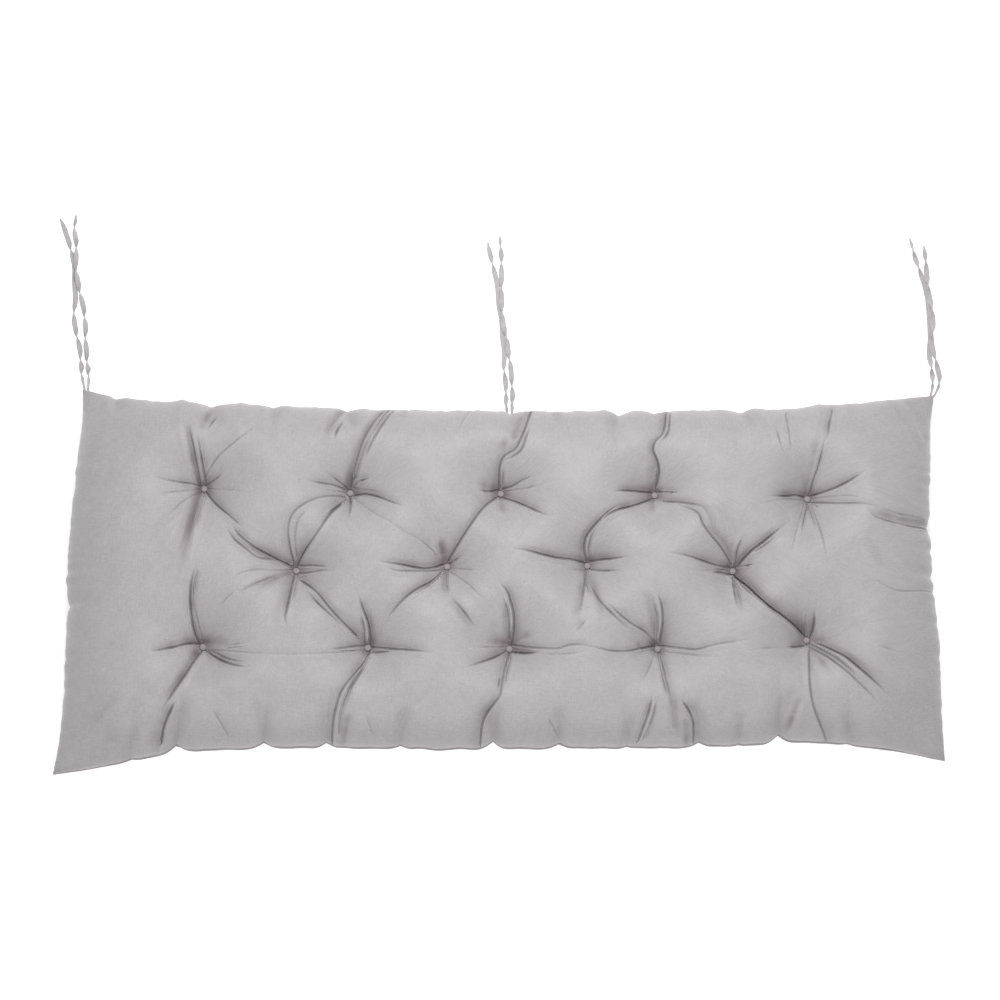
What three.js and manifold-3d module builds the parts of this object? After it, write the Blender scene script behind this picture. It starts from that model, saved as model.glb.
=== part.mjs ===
// A bench cushion: one filled solid with a crown, drawn-in sides, fourteen button tufts and
// the folds they pull into the cover, a covered button on each tuft, and three pairs of flat
// ties caught in the seam of the back edge. Millimetres, +Z up, +X to the right end, +Y to
// the edge with the ties. The underside lies on z = 0.

import * as THREE from "three";
import { mergeVertices } from "three/addons/utils/BufferGeometryUtils.js";
import Module from "manifold-3d";

const wasm = await Module();
wasm.setup();

// Plan of the filled cushion: its four corner tips
const FRONT_LEFT = [-551.5, -250.5];
const FRONT_RIGHT = [540.5, -233.5];
const BACK_LEFT = [-539.5, 250.5];
const BACK_RIGHT = [551.5, 242.5];

// Heights above the surface that the cushion lies on
const CROWN = 78;
const TUFT_FLOOR = 45;
const SEAM_AT_TIP = 10;
const SEAM_AT_MIDDLE = 25;
const TIP_REACH = 150;
const UNDER_DIMPLE = 11;

// The seam lies in a groove between the two panels
const LIP_AT_TIP = 3;
const LIP_AT_MIDDLE = 7;
const GROOVE = 2.5;

// How far in from the seam each panel rolls over, and how wide a tuft pulls it down
const UPPER_ROLL = 88;
const UNDER_ROLL = 56;
const TUFT_REACH = 84;
const DIMPLE_REACH = 38;
const EAR_REACH = 85;
const EAR_FLATTEN = 0.45;

// Covered button on a tuft, and the clearance between two pieces
const BUTTON_RADIUS = 4;
const BUTTON_RISE = 3;
const CLEARANCE = 0.3;

// Ties: flat ribbon of the cover's cloth, pinched where the seam holds it
const TIE_WIDTH = 7;
const TIE_THICK = 1.2;
const TIE_ROOT_WIDTH = 3;
const TIE_ROOT_LENGTH = 10;
const TIE_ROOT_REACH = 28;
const TIE_SLOT = 10;
const TURN_REACH = 17;
const LIFT_REACH = 28;
const FLOOR_GAP = 0.15;
const FALL_REACH = 50;

// Grid of the panels: distances of the lines next to an edge, then the even cells between
const EDGE_LINES = [0, 3, 10, 22, 38];
const CELLS_ALONG = 64;
const CELLS_DEEP = 28;

// Sides between the tips, as a smooth line: front and back give y at x, the ends x at y
const FRONT_SIDE = [
  [-500, -243], [-450, -234.5], [-400, -225.5], [-350, -222], [-200, -219.5], [-100, -221.5],
  [100, -220], [200, -219.5], [300, -216.5], [370, -212.5], [430, -217], [490, -223.5],
];
const BACK_SIDE = [
  [-500, 240], [-450, 230], [-380, 223.5], [-300, 220.5], [-200, 216.5], [-100, 214],
  [100, 213], [200, 213], [300, 214.5], [380, 217], [440, 223.5], [490, 232.5],
];
const LEFT_SIDE = [
  [-200, -544], [-150, -541], [-60, -541], [0, -543.5], [75, -542], [150, -539], [215, -537],
];
const RIGHT_SIDE = [
  [-150, 538], [-100, 538.5], [-50, 535.5], [0, 533.5], [50, 534], [100, 535], [150, 540], [200, 544],
];

// Gathers that the seam draws in: place along the side, depth, half width
const FRONT_GATHERS = [
  [-400, 8, 13], [-293, 6, 12], [-217, 5, 12], [-126, 5, 12], [-13, 8, 13],
  [68, 5, 12], [239, 6, 12], [336, 8, 13],
];
const BACK_GATHERS = [[-370, 4, 12], [-290, 3, 12], [-199, 5, 13], [9, 6, 12], [146, 5, 12], [300, 3, 12]];
const LEFT_GATHERS = [[-45, 3, 12]];
const RIGHT_GATHERS = [[-10, 2, 12], [57, 5, 12]];

// Tufts, in a back, a middle and a front row
const TUFTS = {
  t1: [-375, 105.5], t2: [-192, 100], t3: [-3.5, 99], t4: [189, 97], t5: [380, 92],
  m1: [-257, -1.5], m2: [-70, 4], m3: [104, 5], m4: [284, -2],
  b1: [-369.5, -99], b2: [-167, -100], b3: [7, -101.5], b4: [189, -101.5], b5: [372.5, -90.5],
};

// Main folds: tuft it starts from, bends on its way, tuft or place where it ends, depth, half width
const FOLDS = [
  ["t1", [[-340, 70], [-300, 24]], "m1", 10, 12],
  ["t1", [[-390, 45], [-395, -20], [-388, -65]], "b1", 6, 12],
  ["t1", [[-384, 155]], [-398, 205], 9, 12],
  ["t1", [[-412, 114]], [-455, 122], 4.5, 10],
  ["t1", [[-362, 160]], [-312, 200], 4.5, 12],
  ["m1", [[-235, 48], [-212, 78]], "t2", 9, 11],
  ["m1", [[-222, -45], [-188, -74]], "b2", 9, 12],
  ["m1", [[-269, -40]], [-271, -80], 6, 13],
  ["m1", [[-300, 2]], [-340, -12], 4.5, 10],
  ["t2", [[-182, 145], [-172, 178]], [-150, 206], 9, 12],
  ["t2", [[-150, 68], [-105, 38]], "m2", 6, 12],
  ["t2", [[-215, 110]], [-248, 112], 4.5, 10],
  ["m2", [[-50, 50], [-30, 76]], "t3", 7, 11],
  ["m2", [[-105, 2]], [-158, 8], 6, 11],
  ["m2", [[-112, -26], [-145, -62]], "b2", 9, 12],
  ["m2", [[-72, -36], [-42, -68]], "b3", 4.5, 12],
  ["t3", [[-5, 140], [12, 165]], [34, 208], 9, 12],
  ["t3", [[45, 74], [84, 40]], "m3", 6, 12],
  ["m3", [[60, 18]], [8, 26], 6, 11],
  ["m3", [[94, -40]], [88, -84], 6, 11],
  ["m3", [[120, -44], [158, -76]], "b4", 9, 12],
  ["t4", [[140, 78], [110, 48]], "m3", 10, 12],
  ["t4", [[186, 145], [192, 178]], [206, 206], 9, 12],
  ["t4", [[244, 76], [262, 40]], "m4", 9, 12],
  ["b3", [[60, -103], [126, -102]], "b4", 7, 11],
  ["b3", [[14, -60]], [-5, -22], 7, 11],
  ["b3", [[-4, -145], [-18, -178]], [-30, -214], 9, 12],
  ["b2", [[-188, -138], [-205, -180]], [-208, -212], 10, 12],
  ["b2", [[-125, -105]], [-84, -106], 6, 11],
  ["b2", [[-195, -99]], [-224, -101], 4.5, 11],
  ["b2", [[-166, -65]], [-180, -34], 6, 11],
  ["b1", [[-395, -135], [-416, -182]], [-420, -222], 10, 12],
  ["b1", [[-340, -116]], [-312, -124], 6, 11],
  ["b1", [[-405, -100]], [-458, -108], 6, 13],
  ["b4", [[195, -65]], [180, -28], 6, 11],
  ["b4", [[240, -106], [300, -99]], "b5", 6, 11],
  ["b4", [[198, -145], [212, -178]], [231, -212], 7, 12],
  ["m4", [[250, 7]], [208, 20], 6, 11],
  ["m4", [[314, 34], [350, 64]], "t5", 10, 12],
  ["m4", [[312, -30], [350, -62]], "b5", 13, 12],
  ["b5", [[425, -118]], [467, -162], 9, 12],
  ["b5", [[379, -150]], [398, -206], 7, 12],
  ["b5", [[385, -40], [402, 30]], "t5", 4.5, 12],
  ["t5", [[389, 140]], [400, 196], 7, 12],
  ["t5", [[425, 107]], [462, 126], 6, 11],
  ["t5", [[430, 88]], [474, 80], 4.5, 11],
  ["t5", [[350, 96]], [326, 95], 4.5, 10],
  [[528, 56], [[490, 60]], [456, 72], 6, 11],
  [[524, -22], [[490, -20]], [462, -12], 6, 12],
];

// Ties: route in plan from the seam to the cut end, how high the seam is there, how far along
// the ribbon turns over, standing on edge, and where it lies on top of its twin (from, to)
const TIES = {
  tie_left_a: {
    route: [
      [-537.2, 247.4], [-537.8, 253], [-542, 272], [-548, 312], [-556.5, 348], [-557.5, 385],
      [-559.5, 405], [-560.5, 425], [-566, 450], [-573.5, 472], [-577.5, 483], [-583, 495],
    ],
    seam: 10.5, edges: [30, 72, 116, 226], over: null,
  },
  tie_left_b: {
    route: [
      [-532.6, 246.8], [-532.8, 253], [-532.8, 269], [-538, 299], [-540.8, 328], [-543.5, 357],
      [-550, 386], [-555.5, 409], [-558.5, 430], [-558.5, 456], [-562, 472], [-562.5, 500],
    ],
    seam: 11, edges: [26, 62, 104, 232], over: [112, 236],
  },
  tie_middle_a: {
    route: [
      [4.6, 203.6], [4.6, 214], [3.8, 232], [3, 262], [0.5, 286], [1, 308], [-1, 325], [-2.6, 352],
      [-6, 372], [-8, 400], [-13, 424], [-19, 452], [-20.5, 461],
    ],
    seam: 24, edges: [36, 72, 228], over: null,
  },
  tie_middle_b: {
    route: [
      [10, 203.6], [10.6, 214], [11.8, 245], [10.4, 270], [9.5, 284], [6.5, 305], [4, 326],
      [0, 344], [-1.8, 365], [-2.2, 385], [-2.5, 412], [-2.4, 437], [-4.8, 470],
    ],
    seam: 24, edges: [28, 68, 228, 256], over: [66, 236],
  },
  tie_right_a: {
    route: [
      [545.4, 238.2], [547.6, 244], [551.6, 262], [552, 281], [550.2, 303], [552.5, 325],
      [552.8, 356], [552, 379], [548.8, 401], [543.5, 420], [537, 445], [533, 466],
    ],
    seam: 11, edges: [28, 200, 232], over: null,
  },
  tie_right_b: {
    route: [
      [549.4, 239.7], [553.4, 245], [560.2, 262], [560.6, 277], [556.6, 299], [554, 318],
      [557, 350], [555, 376], [552.8, 398], [552, 424], [551.7, 442], [551, 456],
    ],
    seam: 10.5, edges: [26, 204], over: [24, 212],
  },
};
const TIE_STEPS = 40;
const TIE_LIFT = TIE_THICK + 3 * CLEARANCE;

const WARM_GREY = 0xc0bcbd;
const BUTTON_GREY = 0xb4afb1;
const TIE_GREY = 0xb8b3b4;

const { clamp, lerp, smoothstep } = THREE.MathUtils;

// One side as a function of the place along it: a spline between two tips, with its gathers
function side(start, end, along, points, gathers, inward) {
  const rows = [start, ...points, end].map((p, i, all) =>
    i === 0 || i === all.length - 1 ? [p[along], p[1 - along]] : p,
  );
  const spline = new THREE.CubicInterpolant(
    rows.map((row) => row[0]),
    rows.map((row) => row[1]),
    1,
  );
  return (share) => {
    const at = lerp(start[along], end[along], share);
    let off = spline.evaluate(at)[0];
    for (const [place, deep, wide] of gathers)
      off += inward * deep * Math.exp(-(((at - place) / wide) ** 2));
    return along === 0 ? [at, off] : [off, at];
  };
}

const front = side(FRONT_LEFT, FRONT_RIGHT, 0, FRONT_SIDE, FRONT_GATHERS, 1);
const back = side(BACK_LEFT, BACK_RIGHT, 0, BACK_SIDE, BACK_GATHERS, -1);
const left = side(FRONT_LEFT, BACK_LEFT, 1, LEFT_SIDE, LEFT_GATHERS, 1);
const right = side(FRONT_RIGHT, BACK_RIGHT, 1, RIGHT_SIDE, RIGHT_GATHERS, -1);

// Place in plan at the distances s from the left end and t from the front edge
const LENGTH = FRONT_RIGHT[0] - FRONT_LEFT[0];
const DEPTH = BACK_LEFT[1] - FRONT_LEFT[1];

function plan(s, t) {
  const u = s / LENGTH;
  const v = t / DEPTH;
  return [0, 1].map((k) => {
    const between = lerp(front(u)[k], back(u)[k], v) + lerp(left(v)[k], right(v)[k], u);
    const straight = lerp(
      lerp(FRONT_LEFT[k], FRONT_RIGHT[k], u),
      lerp(BACK_LEFT[k], BACK_RIGHT[k], u),
      v,
    );
    return between - straight;
  });
}

// Share of its full height that a panel has reached, rolling over from the seam
function roll(distance, reach) {
  const rest = 1 - clamp(distance / reach, 0, 1);
  return Math.sqrt(1 - rest * rest);
}

const insideX = (s) => Math.min(s, LENGTH - s);
const insideY = (t) => Math.min(t, DEPTH - t);
const toTip = (s, t) => Math.hypot(insideX(s), insideY(t));

const seamHeight = (s, t) =>
  lerp(SEAM_AT_TIP, SEAM_AT_MIDDLE, smoothstep(toTip(s, t), 0, TIP_REACH));
const lip = (s, t) => lerp(LIP_AT_TIP, LIP_AT_MIDDLE, smoothstep(toTip(s, t), 0, TIP_REACH));

// Each fold as a run of short straight pieces, fading out unless it ends on a tuft
const placeOf = (end) => (typeof end === "string" ? TUFTS[end] : end);
const foldRuns = FOLDS.map(([from, bends, to, deep, wide]) => {
  const points = [placeOf(from), ...bends, placeOf(to)].map(([x, y]) => new THREE.Vector3(x, y, 0));
  const runs = new THREE.CatmullRomCurve3(points).getSpacedPoints(4 * (points.length - 1));
  return { runs, deep, wide, fades: typeof to !== "string" };
});

function foldDepth(x, y) {
  const here = new THREE.Vector3(x, y, 0);
  const nearest = new THREE.Vector3();
  const piece = new THREE.Line3();
  let cubes = 0;
  for (const { runs, deep, wide, fades } of foldRuns) {
    let deepest = 0;
    for (let i = 1; i < runs.length; i++) {
      piece.set(runs[i - 1], runs[i]);
      const share = (i - 1 + piece.closestPointToPointParameter(here, true)) / (runs.length - 1);
      piece.closestPointToPoint(here, true, nearest);
      const away = here.distanceTo(nearest) / wide;
      const left = fades ? 1 - smoothstep(share, 0.45, 1.1) : 1;
      deepest = Math.max(deepest, deep * left * Math.exp(-away * away));
    }
    cubes += deepest ** 3;
  }
  return Math.cbrt(cubes);
}

function tuftPull(x, y) {
  let kept = 1;
  for (const [tx, ty] of Object.values(TUFTS))
    kept *= roll(Math.hypot(x - tx, y - ty), TUFT_REACH) ** 2;
  return 1 - kept;
}

function upperHeight(s, t, x, y) {
  const start = seamHeight(s, t) + lip(s, t);
  const ear = 1 - EAR_FLATTEN * Math.exp(-((toTip(s, t) / EAR_REACH) ** 2));
  const full = roll(insideX(s), UPPER_ROLL) * roll(insideY(t), UPPER_ROLL) * ear;
  const tufted = (CROWN - TUFT_FLOOR) * tuftPull(x, y);
  const pulled = Math.cbrt(tufted ** 3 + foldDepth(x, y) ** 3);
  return start + (CROWN - start - pulled) * full;
}

function underHeight(s, t, x, y) {
  const start = seamHeight(s, t) - lip(s, t);
  const flat = roll(insideX(s), UNDER_ROLL) * roll(insideY(t), UNDER_ROLL);
  let dimple = 0;
  for (const [tx, ty] of Object.values(TUFTS)) {
    const near = 1 - Math.min(Math.hypot(x - tx, y - ty) / DIMPLE_REACH, 1);
    dimple = Math.max(dimple, UNDER_DIMPLE * near * near);
  }
  return start * (1 - flat) + dimple;
}

// Grid lines across a panel, close together where it rolls over
function gridLines(length, cells) {
  const edge = EDGE_LINES[EDGE_LINES.length - 1];
  const lines = EDGE_LINES.slice(0, -1);
  for (let i = 0; i <= cells; i++) lines.push(lerp(edge, length - edge, i / cells));
  return lines.concat(EDGE_LINES.slice(0, -1).map((d) => length - d).reverse());
}

const linesAlong = gridLines(LENGTH, CELLS_ALONG);
const linesDeep = gridLines(DEPTH, CELLS_DEEP);

// Shifts the grid a little so that a corner of a cell lies on each tuft
const CELL = (LENGTH - 2 * EDGE_LINES.at(-1)) / CELLS_ALONG;
const shifts = Object.values(TUFTS).map(([tx, ty]) => {
  let best = null;
  for (const s of linesAlong.filter((_, i) => i % 2 === 0))
    for (const t of linesDeep.filter((_, i) => i % 2 === 0)) {
      const [x, y] = plan(s, t);
      const away = Math.hypot(x - tx, y - ty);
      if (!best || away < best.away) best = { away, x, y, dx: tx - x, dy: ty - y };
    }
  return best;
});

function shiftedPlan(s, t) {
  const [x, y] = plan(s, t);
  let moveX = 0;
  let moveY = 0;
  for (const shift of shifts) {
    const near = Math.exp(-(((x - shift.x) ** 2 + (y - shift.y) ** 2) / (2.4 * CELL) ** 2));
    moveX += shift.dx * near;
    moveY += shift.dy * near;
  }
  return [x + moveX, y + moveY];
}

// The filled cushion: an upper panel, a coarser under panel and the seam ring between them
function cushionGeometry() {
  const points = [];
  const faces = [];
  const add = (x, y, z) => points.push(x, y, z) / 3 - 1;

  function panel(along, deep, heightOf) {
    return along.map((s) =>
      deep.map((t) => {
        const [x, y] = shiftedPlan(s, t);
        return add(x, y, heightOf(s, t, x, y));
      }),
    );
  }
  function quads(grid, up) {
    for (let i = 1; i < grid.length; i++)
      for (let j = 1; j < grid[0].length; j++) {
        const [a, b, c, d] = [grid[i - 1][j - 1], grid[i][j - 1], grid[i][j], grid[i - 1][j]];
        const other = (i + j) % 2 === 0;
        const pair = other ? [[a, b, c], [a, c, d]] : [[a, b, d], [b, c, d]];
        for (const [p, q, r] of pair) faces.push(...(up ? [p, q, r] : [p, r, q]));
      }
  }
  const every = (lines, step) => lines.filter((_, i) => i % step === 0);
  const ringOf = (columns, rows) => [
    ...Array.from({ length: columns }, (_, i) => [i, 0]),
    ...Array.from({ length: rows }, (_, j) => [columns, j]),
    ...Array.from({ length: columns }, (_, i) => [columns - i, rows]),
    ...Array.from({ length: rows }, (_, j) => [0, rows - j]),
  ];

  const upper = panel(linesAlong, linesDeep, upperHeight);
  const under = panel(every(linesAlong, 2), every(linesDeep, 2), underHeight);
  quads(upper, true);
  quads(under, false);

  const fine = ringOf(linesAlong.length - 1, linesDeep.length - 1);
  const seam = fine.map(([i, j]) => {
    const s = linesAlong[i];
    const t = linesDeep[j];
    const groove = GROOVE * smoothstep(toTip(s, t), 0, 3 * EDGE_LINES[2]);
    const [x, y] = plan(clamp(s, groove, LENGTH - groove), clamp(t, groove, DEPTH - groove));
    return add(x, y, seamHeight(s, t));
  });
  const upperRing = fine.map(([i, j]) => upper[i][j]);
  const underRing = ringOf(under.length - 1, under[0].length - 1).map(([i, j]) => under[i][j]);
  for (let k = 0; k < seam.length; k++) {
    const next = (k + 1) % seam.length;
    faces.push(seam[k], seam[next], upperRing[next], seam[k], upperRing[next], upperRing[k]);
  }
  for (let k = 0; k < underRing.length; k++) {
    const low = underRing[k];
    const lowNext = underRing[(k + 1) % underRing.length];
    const [a, b, c] = [0, 1, 2].map((n) => seam[(2 * k + n) % seam.length]);
    faces.push(low, b, a, low, lowNext, b, lowNext, c, b);
  }
  const geometry = new THREE.BufferGeometry();
  geometry.setAttribute("position", new THREE.Float32BufferAttribute(points, 3));
  geometry.setIndex(faces);
  return geometry;
}

// Boolean cuts on closed geometries
function solidOf(geometry) {
  const bare = geometry.clone();
  bare.deleteAttribute("normal");
  bare.deleteAttribute("uv");
  const merged = mergeVertices(bare, 1e-3);
  return new wasm.Manifold(
    new wasm.Mesh({
      numProp: 3,
      vertProperties: new Float32Array(merged.attributes.position.array),
      triVerts: new Uint32Array(merged.index.array),
    }),
  );
}

function geometryOf(solid) {
  const mesh = solid.getMesh();
  const geometry = new THREE.BufferGeometry();
  geometry.setAttribute("position", new THREE.BufferAttribute(mesh.vertProperties, 3));
  geometry.setIndex(new THREE.BufferAttribute(mesh.triVerts, 1));
  return geometry;
}

// Pit that the twine pulls under a button, open at the top
function buttonSeat([x, y]) {
  const seat = new THREE.CylinderGeometry(
    BUTTON_RADIUS + CLEARANCE,
    BUTTON_RADIUS + CLEARANCE,
    CROWN,
    12,
  );
  seat.rotateX(Math.PI / 2);
  return seat.translate(x, y, TUFT_FLOOR + CROWN / 2);
}

function buttonGeometry() {
  const profile = [[0, 0], [0.8, 0], [1, 0.28], [0.9, 0.68], [0.5, 0.95], [0, 1]].map(
    ([r, z]) => new THREE.Vector2(r * BUTTON_RADIUS, z * BUTTON_RISE),
  );
  return new THREE.LatheGeometry(profile, 12).rotateX(Math.PI / 2);
}

// How far a ribbon of one width, turned by an angle, reaches below its middle line
const turnedReach = (width, angle) =>
  (TIE_THICK / 2) * Math.abs(Math.cos(angle)) + (width / 2) * Math.abs(Math.sin(angle));

const widthAlong = (run) =>
  lerp(TIE_ROOT_WIDTH, TIE_WIDTH, smoothstep(run, TIE_ROOT_LENGTH, TIE_ROOT_REACH));

// Angle of a ribbon along its run: it lies flat, and makes a half turn at each edge place
const turnAlong = (run, edges) =>
  edges.reduce(
    (angle, place) => angle + Math.PI * smoothstep(run, place - TURN_REACH, place + TURN_REACH),
    0,
  );

// Places along a tie: level out of the seam, down to the surface, then lying on it
function tieLine({ route, seam, edges, over }) {
  const inPlan = new THREE.CatmullRomCurve3(route.map(([x, y]) => new THREE.Vector3(x, y, 0)));
  const long = inPlan.getLength();
  const at = (run) => {
    const lift = over
      ? TIE_LIFT *
        smoothstep(run, over[0], over[0] + LIFT_REACH) *
        (1 - smoothstep(run, over[1] - LIFT_REACH, over[1]))
      : 0;
    const lying = turnedReach(widthAlong(run), turnAlong(run, edges)) + FLOOR_GAP + lift;
    const place = inPlan.getPointAt(clamp(run / long, 0, 1));
    return place.setZ(lerp(seam, lying, smoothstep(run, TIE_ROOT_LENGTH, FALL_REACH)));
  };
  return { long, at };
}

function tieGeometry(tie) {
  const { long, at } = tieLine(tie);
  const [w, h, cut] = [0.5, TIE_THICK / 2, 0.3];
  const section = new THREE.Shape(
    [
      [w, h - cut], [w - cut / TIE_WIDTH, h], [cut / TIE_WIDTH - w, h], [-w, h - cut],
      [-w, cut - h], [cut / TIE_WIDTH - w, -h], [w - cut / TIE_WIDTH, -h], [w, cut - h],
    ].map(([x, y]) => new THREE.Vector2(x, y)),
  );
  const strip = new THREE.ExtrudeGeometry(section, { depth: 1, steps: TIE_STEPS, bevelEnabled: false });
  const position = strip.attributes.position;
  const up = new THREE.Vector3(0, 0, 1);
  for (let i = 0; i < position.count; i++) {
    const run = position.getZ(i) * long;
    const ahead = at(Math.min(run + 1, long)).sub(at(Math.max(run - 1, 0))).normalize();
    const across = new THREE.Vector3().crossVectors(up, ahead).normalize();
    across.applyAxisAngle(ahead, turnAlong(run, tie.edges));
    const above = new THREE.Vector3().crossVectors(ahead, across).normalize();
    const place = at(run);
    place.addScaledVector(across, position.getX(i) * widthAlong(run));
    place.addScaledVector(above, position.getY(i));
    position.setXYZ(i, place.x, place.y, place.z);
  }
  return strip;
}

// Slot in the seam that a tie's root sits in, a clearance wider all round
function tieSlot({ route, seam }) {
  const [[x0, y0], [x1, y1]] = route;
  const slot = new THREE.BoxGeometry(
    TIE_ROOT_WIDTH + 2 * CLEARANCE,
    TIE_SLOT,
    TIE_THICK + 2 * CLEARANCE,
  );
  slot.rotateZ(Math.atan2(x0 - x1, y1 - y0));
  const ahead = new THREE.Vector2(x1 - x0, y1 - y0).setLength(TIE_SLOT / 2 - CLEARANCE);
  return slot.translate(x0 + ahead.x, y0 + ahead.y, seam);
}

const finish = (color, roughness) =>
  new THREE.MeshStandardMaterial({ color, roughness, metalness: 0, flatShading: true });

function piece(name, geometry, material) {
  const mesh = new THREE.Mesh(geometry, material);
  mesh.name = name;
  return mesh;
}

const cushion = new THREE.Group();

let filled = solidOf(cushionGeometry());
for (const tuft of Object.values(TUFTS)) filled = filled.subtract(solidOf(buttonSeat(tuft)));
for (const tie of Object.values(TIES)) filled = filled.subtract(solidOf(tieSlot(tie)));
cushion.add(piece("cushion", geometryOf(filled), finish(WARM_GREY, 0.62)));

for (const [name, [x, y]] of Object.entries(TUFTS)) {
  const button = piece("button_" + name, buttonGeometry(), finish(BUTTON_GREY, 0.6));
  button.position.set(x, y, TUFT_FLOOR + CLEARANCE);
  cushion.add(button);
}

for (const [name, tie] of Object.entries(TIES))
  cushion.add(piece(name, tieGeometry(tie), finish(TIE_GREY, 0.65)));

export default cushion;
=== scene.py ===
# A bench cushion lying on its back on a pale floor: button-tufted cover, two tie pairs at the
# corners of the back edge and one at its middle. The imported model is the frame, in metres,
# and every piece below is dressed onto it. Tables of places are in millimetres, unless they
# say otherwise.

import math
from functools import partial

import bmesh
import bpy
import numpy as np
from mathutils import Matrix, Vector, noise


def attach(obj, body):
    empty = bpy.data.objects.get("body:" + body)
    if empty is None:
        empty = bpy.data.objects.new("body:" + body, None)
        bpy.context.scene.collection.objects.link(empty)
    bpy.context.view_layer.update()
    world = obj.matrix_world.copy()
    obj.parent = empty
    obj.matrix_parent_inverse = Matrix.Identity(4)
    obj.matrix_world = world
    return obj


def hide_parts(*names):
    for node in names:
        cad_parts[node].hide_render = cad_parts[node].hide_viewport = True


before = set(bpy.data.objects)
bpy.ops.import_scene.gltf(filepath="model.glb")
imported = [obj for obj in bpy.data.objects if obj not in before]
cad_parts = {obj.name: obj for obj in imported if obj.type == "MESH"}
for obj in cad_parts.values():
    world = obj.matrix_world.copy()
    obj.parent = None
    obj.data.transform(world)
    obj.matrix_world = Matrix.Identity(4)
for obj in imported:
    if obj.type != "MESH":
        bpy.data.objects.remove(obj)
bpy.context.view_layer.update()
scene = bpy.context.scene

# Camera
# It stands in front of the cushion and high above it, with a long lens, so that the far
# edge looks hardly shorter than the near one.
camera_aim = Vector((-0.0045, 0.0995, 0.020))
camera_tilt = math.radians(18)
camera_distance = 3.3

camera_data = bpy.data.cameras.new("camera")
camera_data.sensor_width = 36
camera_data.lens = 94.17
camera_data.clip_end = 20
camera = bpy.data.objects.new("camera", camera_data)
camera.location = camera_aim + camera_distance * Vector(
    (0, -math.sin(camera_tilt), math.cos(camera_tilt))
)
camera.rotation_euler = (camera_tilt, 0, 0)
scene.collection.objects.link(camera)
scene.camera = camera

# Cloth of the cover and the ties
# A fine plain weave with a satin face: the threads cross at half a millimetre, some run
# thicker than others, and the face is a little uneven from handling.
MM = 0.001
thread_pair = 1 * MM
slub_tone = 0.32
mark_tone = 0.14

# Unevenness in waves a metre: over a thread, along a thread, in specks and in handling marks
thread_waves = 800
slub_waves = 90
speck_waves = 620
mark_waves = 34


def reckon(tree, operation, first, second=None):
    """A Math node in a node tree, fed by numbers or sockets; gives its output."""
    node = tree.nodes.new("ShaderNodeMath")
    node.operation = operation
    for socket, source in zip(node.inputs, (first, second)):
        if isinstance(source, (int, float)):
            socket.default_value = source
        elif source is not None:
            tree.links.new(source, socket)
    return node.outputs[0]


def arithmetic(tree):
    """Adding, subtracting and multiplying as nodes of one tree."""
    return (partial(reckon, tree, operation) for operation in ("ADD", "SUBTRACT", "MULTIPLY"))


def build_weave_group():
    """Shader group of a plain weave: thread height, slub tone and soft handling marks."""
    group = bpy.data.node_groups.new("plain_weave", "ShaderNodeTree")
    for name, way, kind in (
        ("Cloth", "INPUT", "Vector"), ("Threads", "INPUT", "Float"), ("Slub", "INPUT", "Float"),
        ("Height", "OUTPUT", "Float"), ("Tone", "OUTPUT", "Float"),
    ):
        group.interface.new_socket(name, in_out=way, socket_type="NodeSocket" + kind)
    nodes, links = group.nodes, group.links
    given = nodes.new("NodeGroupInput")
    made = nodes.new("NodeGroupOutput")
    plus, minus, times = arithmetic(group)

    apart = nodes.new("ShaderNodeSeparateXYZ")
    links.new(given.outputs["Cloth"], apart.inputs[0])
    across, along = (
        reckon(group, "SINE", times(apart.outputs[way], given.outputs["Threads"]))
        for way in "XY"
    )
    crossing = times(across, along)

    def cloudy(*waves):
        squeezed = nodes.new("ShaderNodeMapping")
        squeezed.inputs["Scale"].default_value = waves
        links.new(given.outputs["Cloth"], squeezed.inputs["Vector"])
        cloud = nodes.new("ShaderNodeTexNoise")
        cloud.inputs["Scale"].default_value = 1
        cloud.inputs["Detail"].default_value = 2
        links.new(squeezed.outputs["Vector"], cloud.inputs["Vector"])
        return cloud.outputs["Fac"]

    warp = cloudy(thread_waves, slub_waves, 1)
    weft = cloudy(slub_waves, thread_waves, 1)
    specks = minus(cloudy(speck_waves, speck_waves, 1), 0.5)
    thick = minus(plus(warp, weft), 1)
    marks = minus(cloudy(mark_waves, mark_waves, mark_waves), 0.5)
    height = plus(times(crossing, 0.5), thick)
    links.new(times(height, 0.5), made.inputs["Height"])
    slubbed = times(thick, given.outputs["Slub"])
    handled = times(marks, mark_tone)
    specked = times(specks, given.outputs["Slub"])
    toned = plus(slubbed, handled)
    links.new(plus(toned, specked), made.inputs["Tone"])
    return group


weave = build_weave_group()

# Ties
# Six flat ribbons of the cover's cloth, in pairs caught in the seam of the back edge. Each runs
# level out of the seam, drops to the surface and lies on it, turning over here and there.
tie_width = 7 * MM
tie_root_width = 3 * MM
tie_thickness = 1.2 * MM
tie_tip_taper = 16 * MM
tie_tip_narrowing = 0.65
tie_root_length = 10 * MM
tie_root_reach = 28 * MM
tie_turn_reach = 17 * MM
tie_fall_reach = 50 * MM
tie_lift = 2.1 * MM
tie_lift_reach = 28 * MM
tie_floor_gap = 0.3 * MM
tie_crumple = 0.35 * MM
tie_crumple_steps = 20
tie_ripples_along = 0.16
tie_ripples_across = 2.2
tie_steps = 150
tie_cells_across = 6

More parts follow.
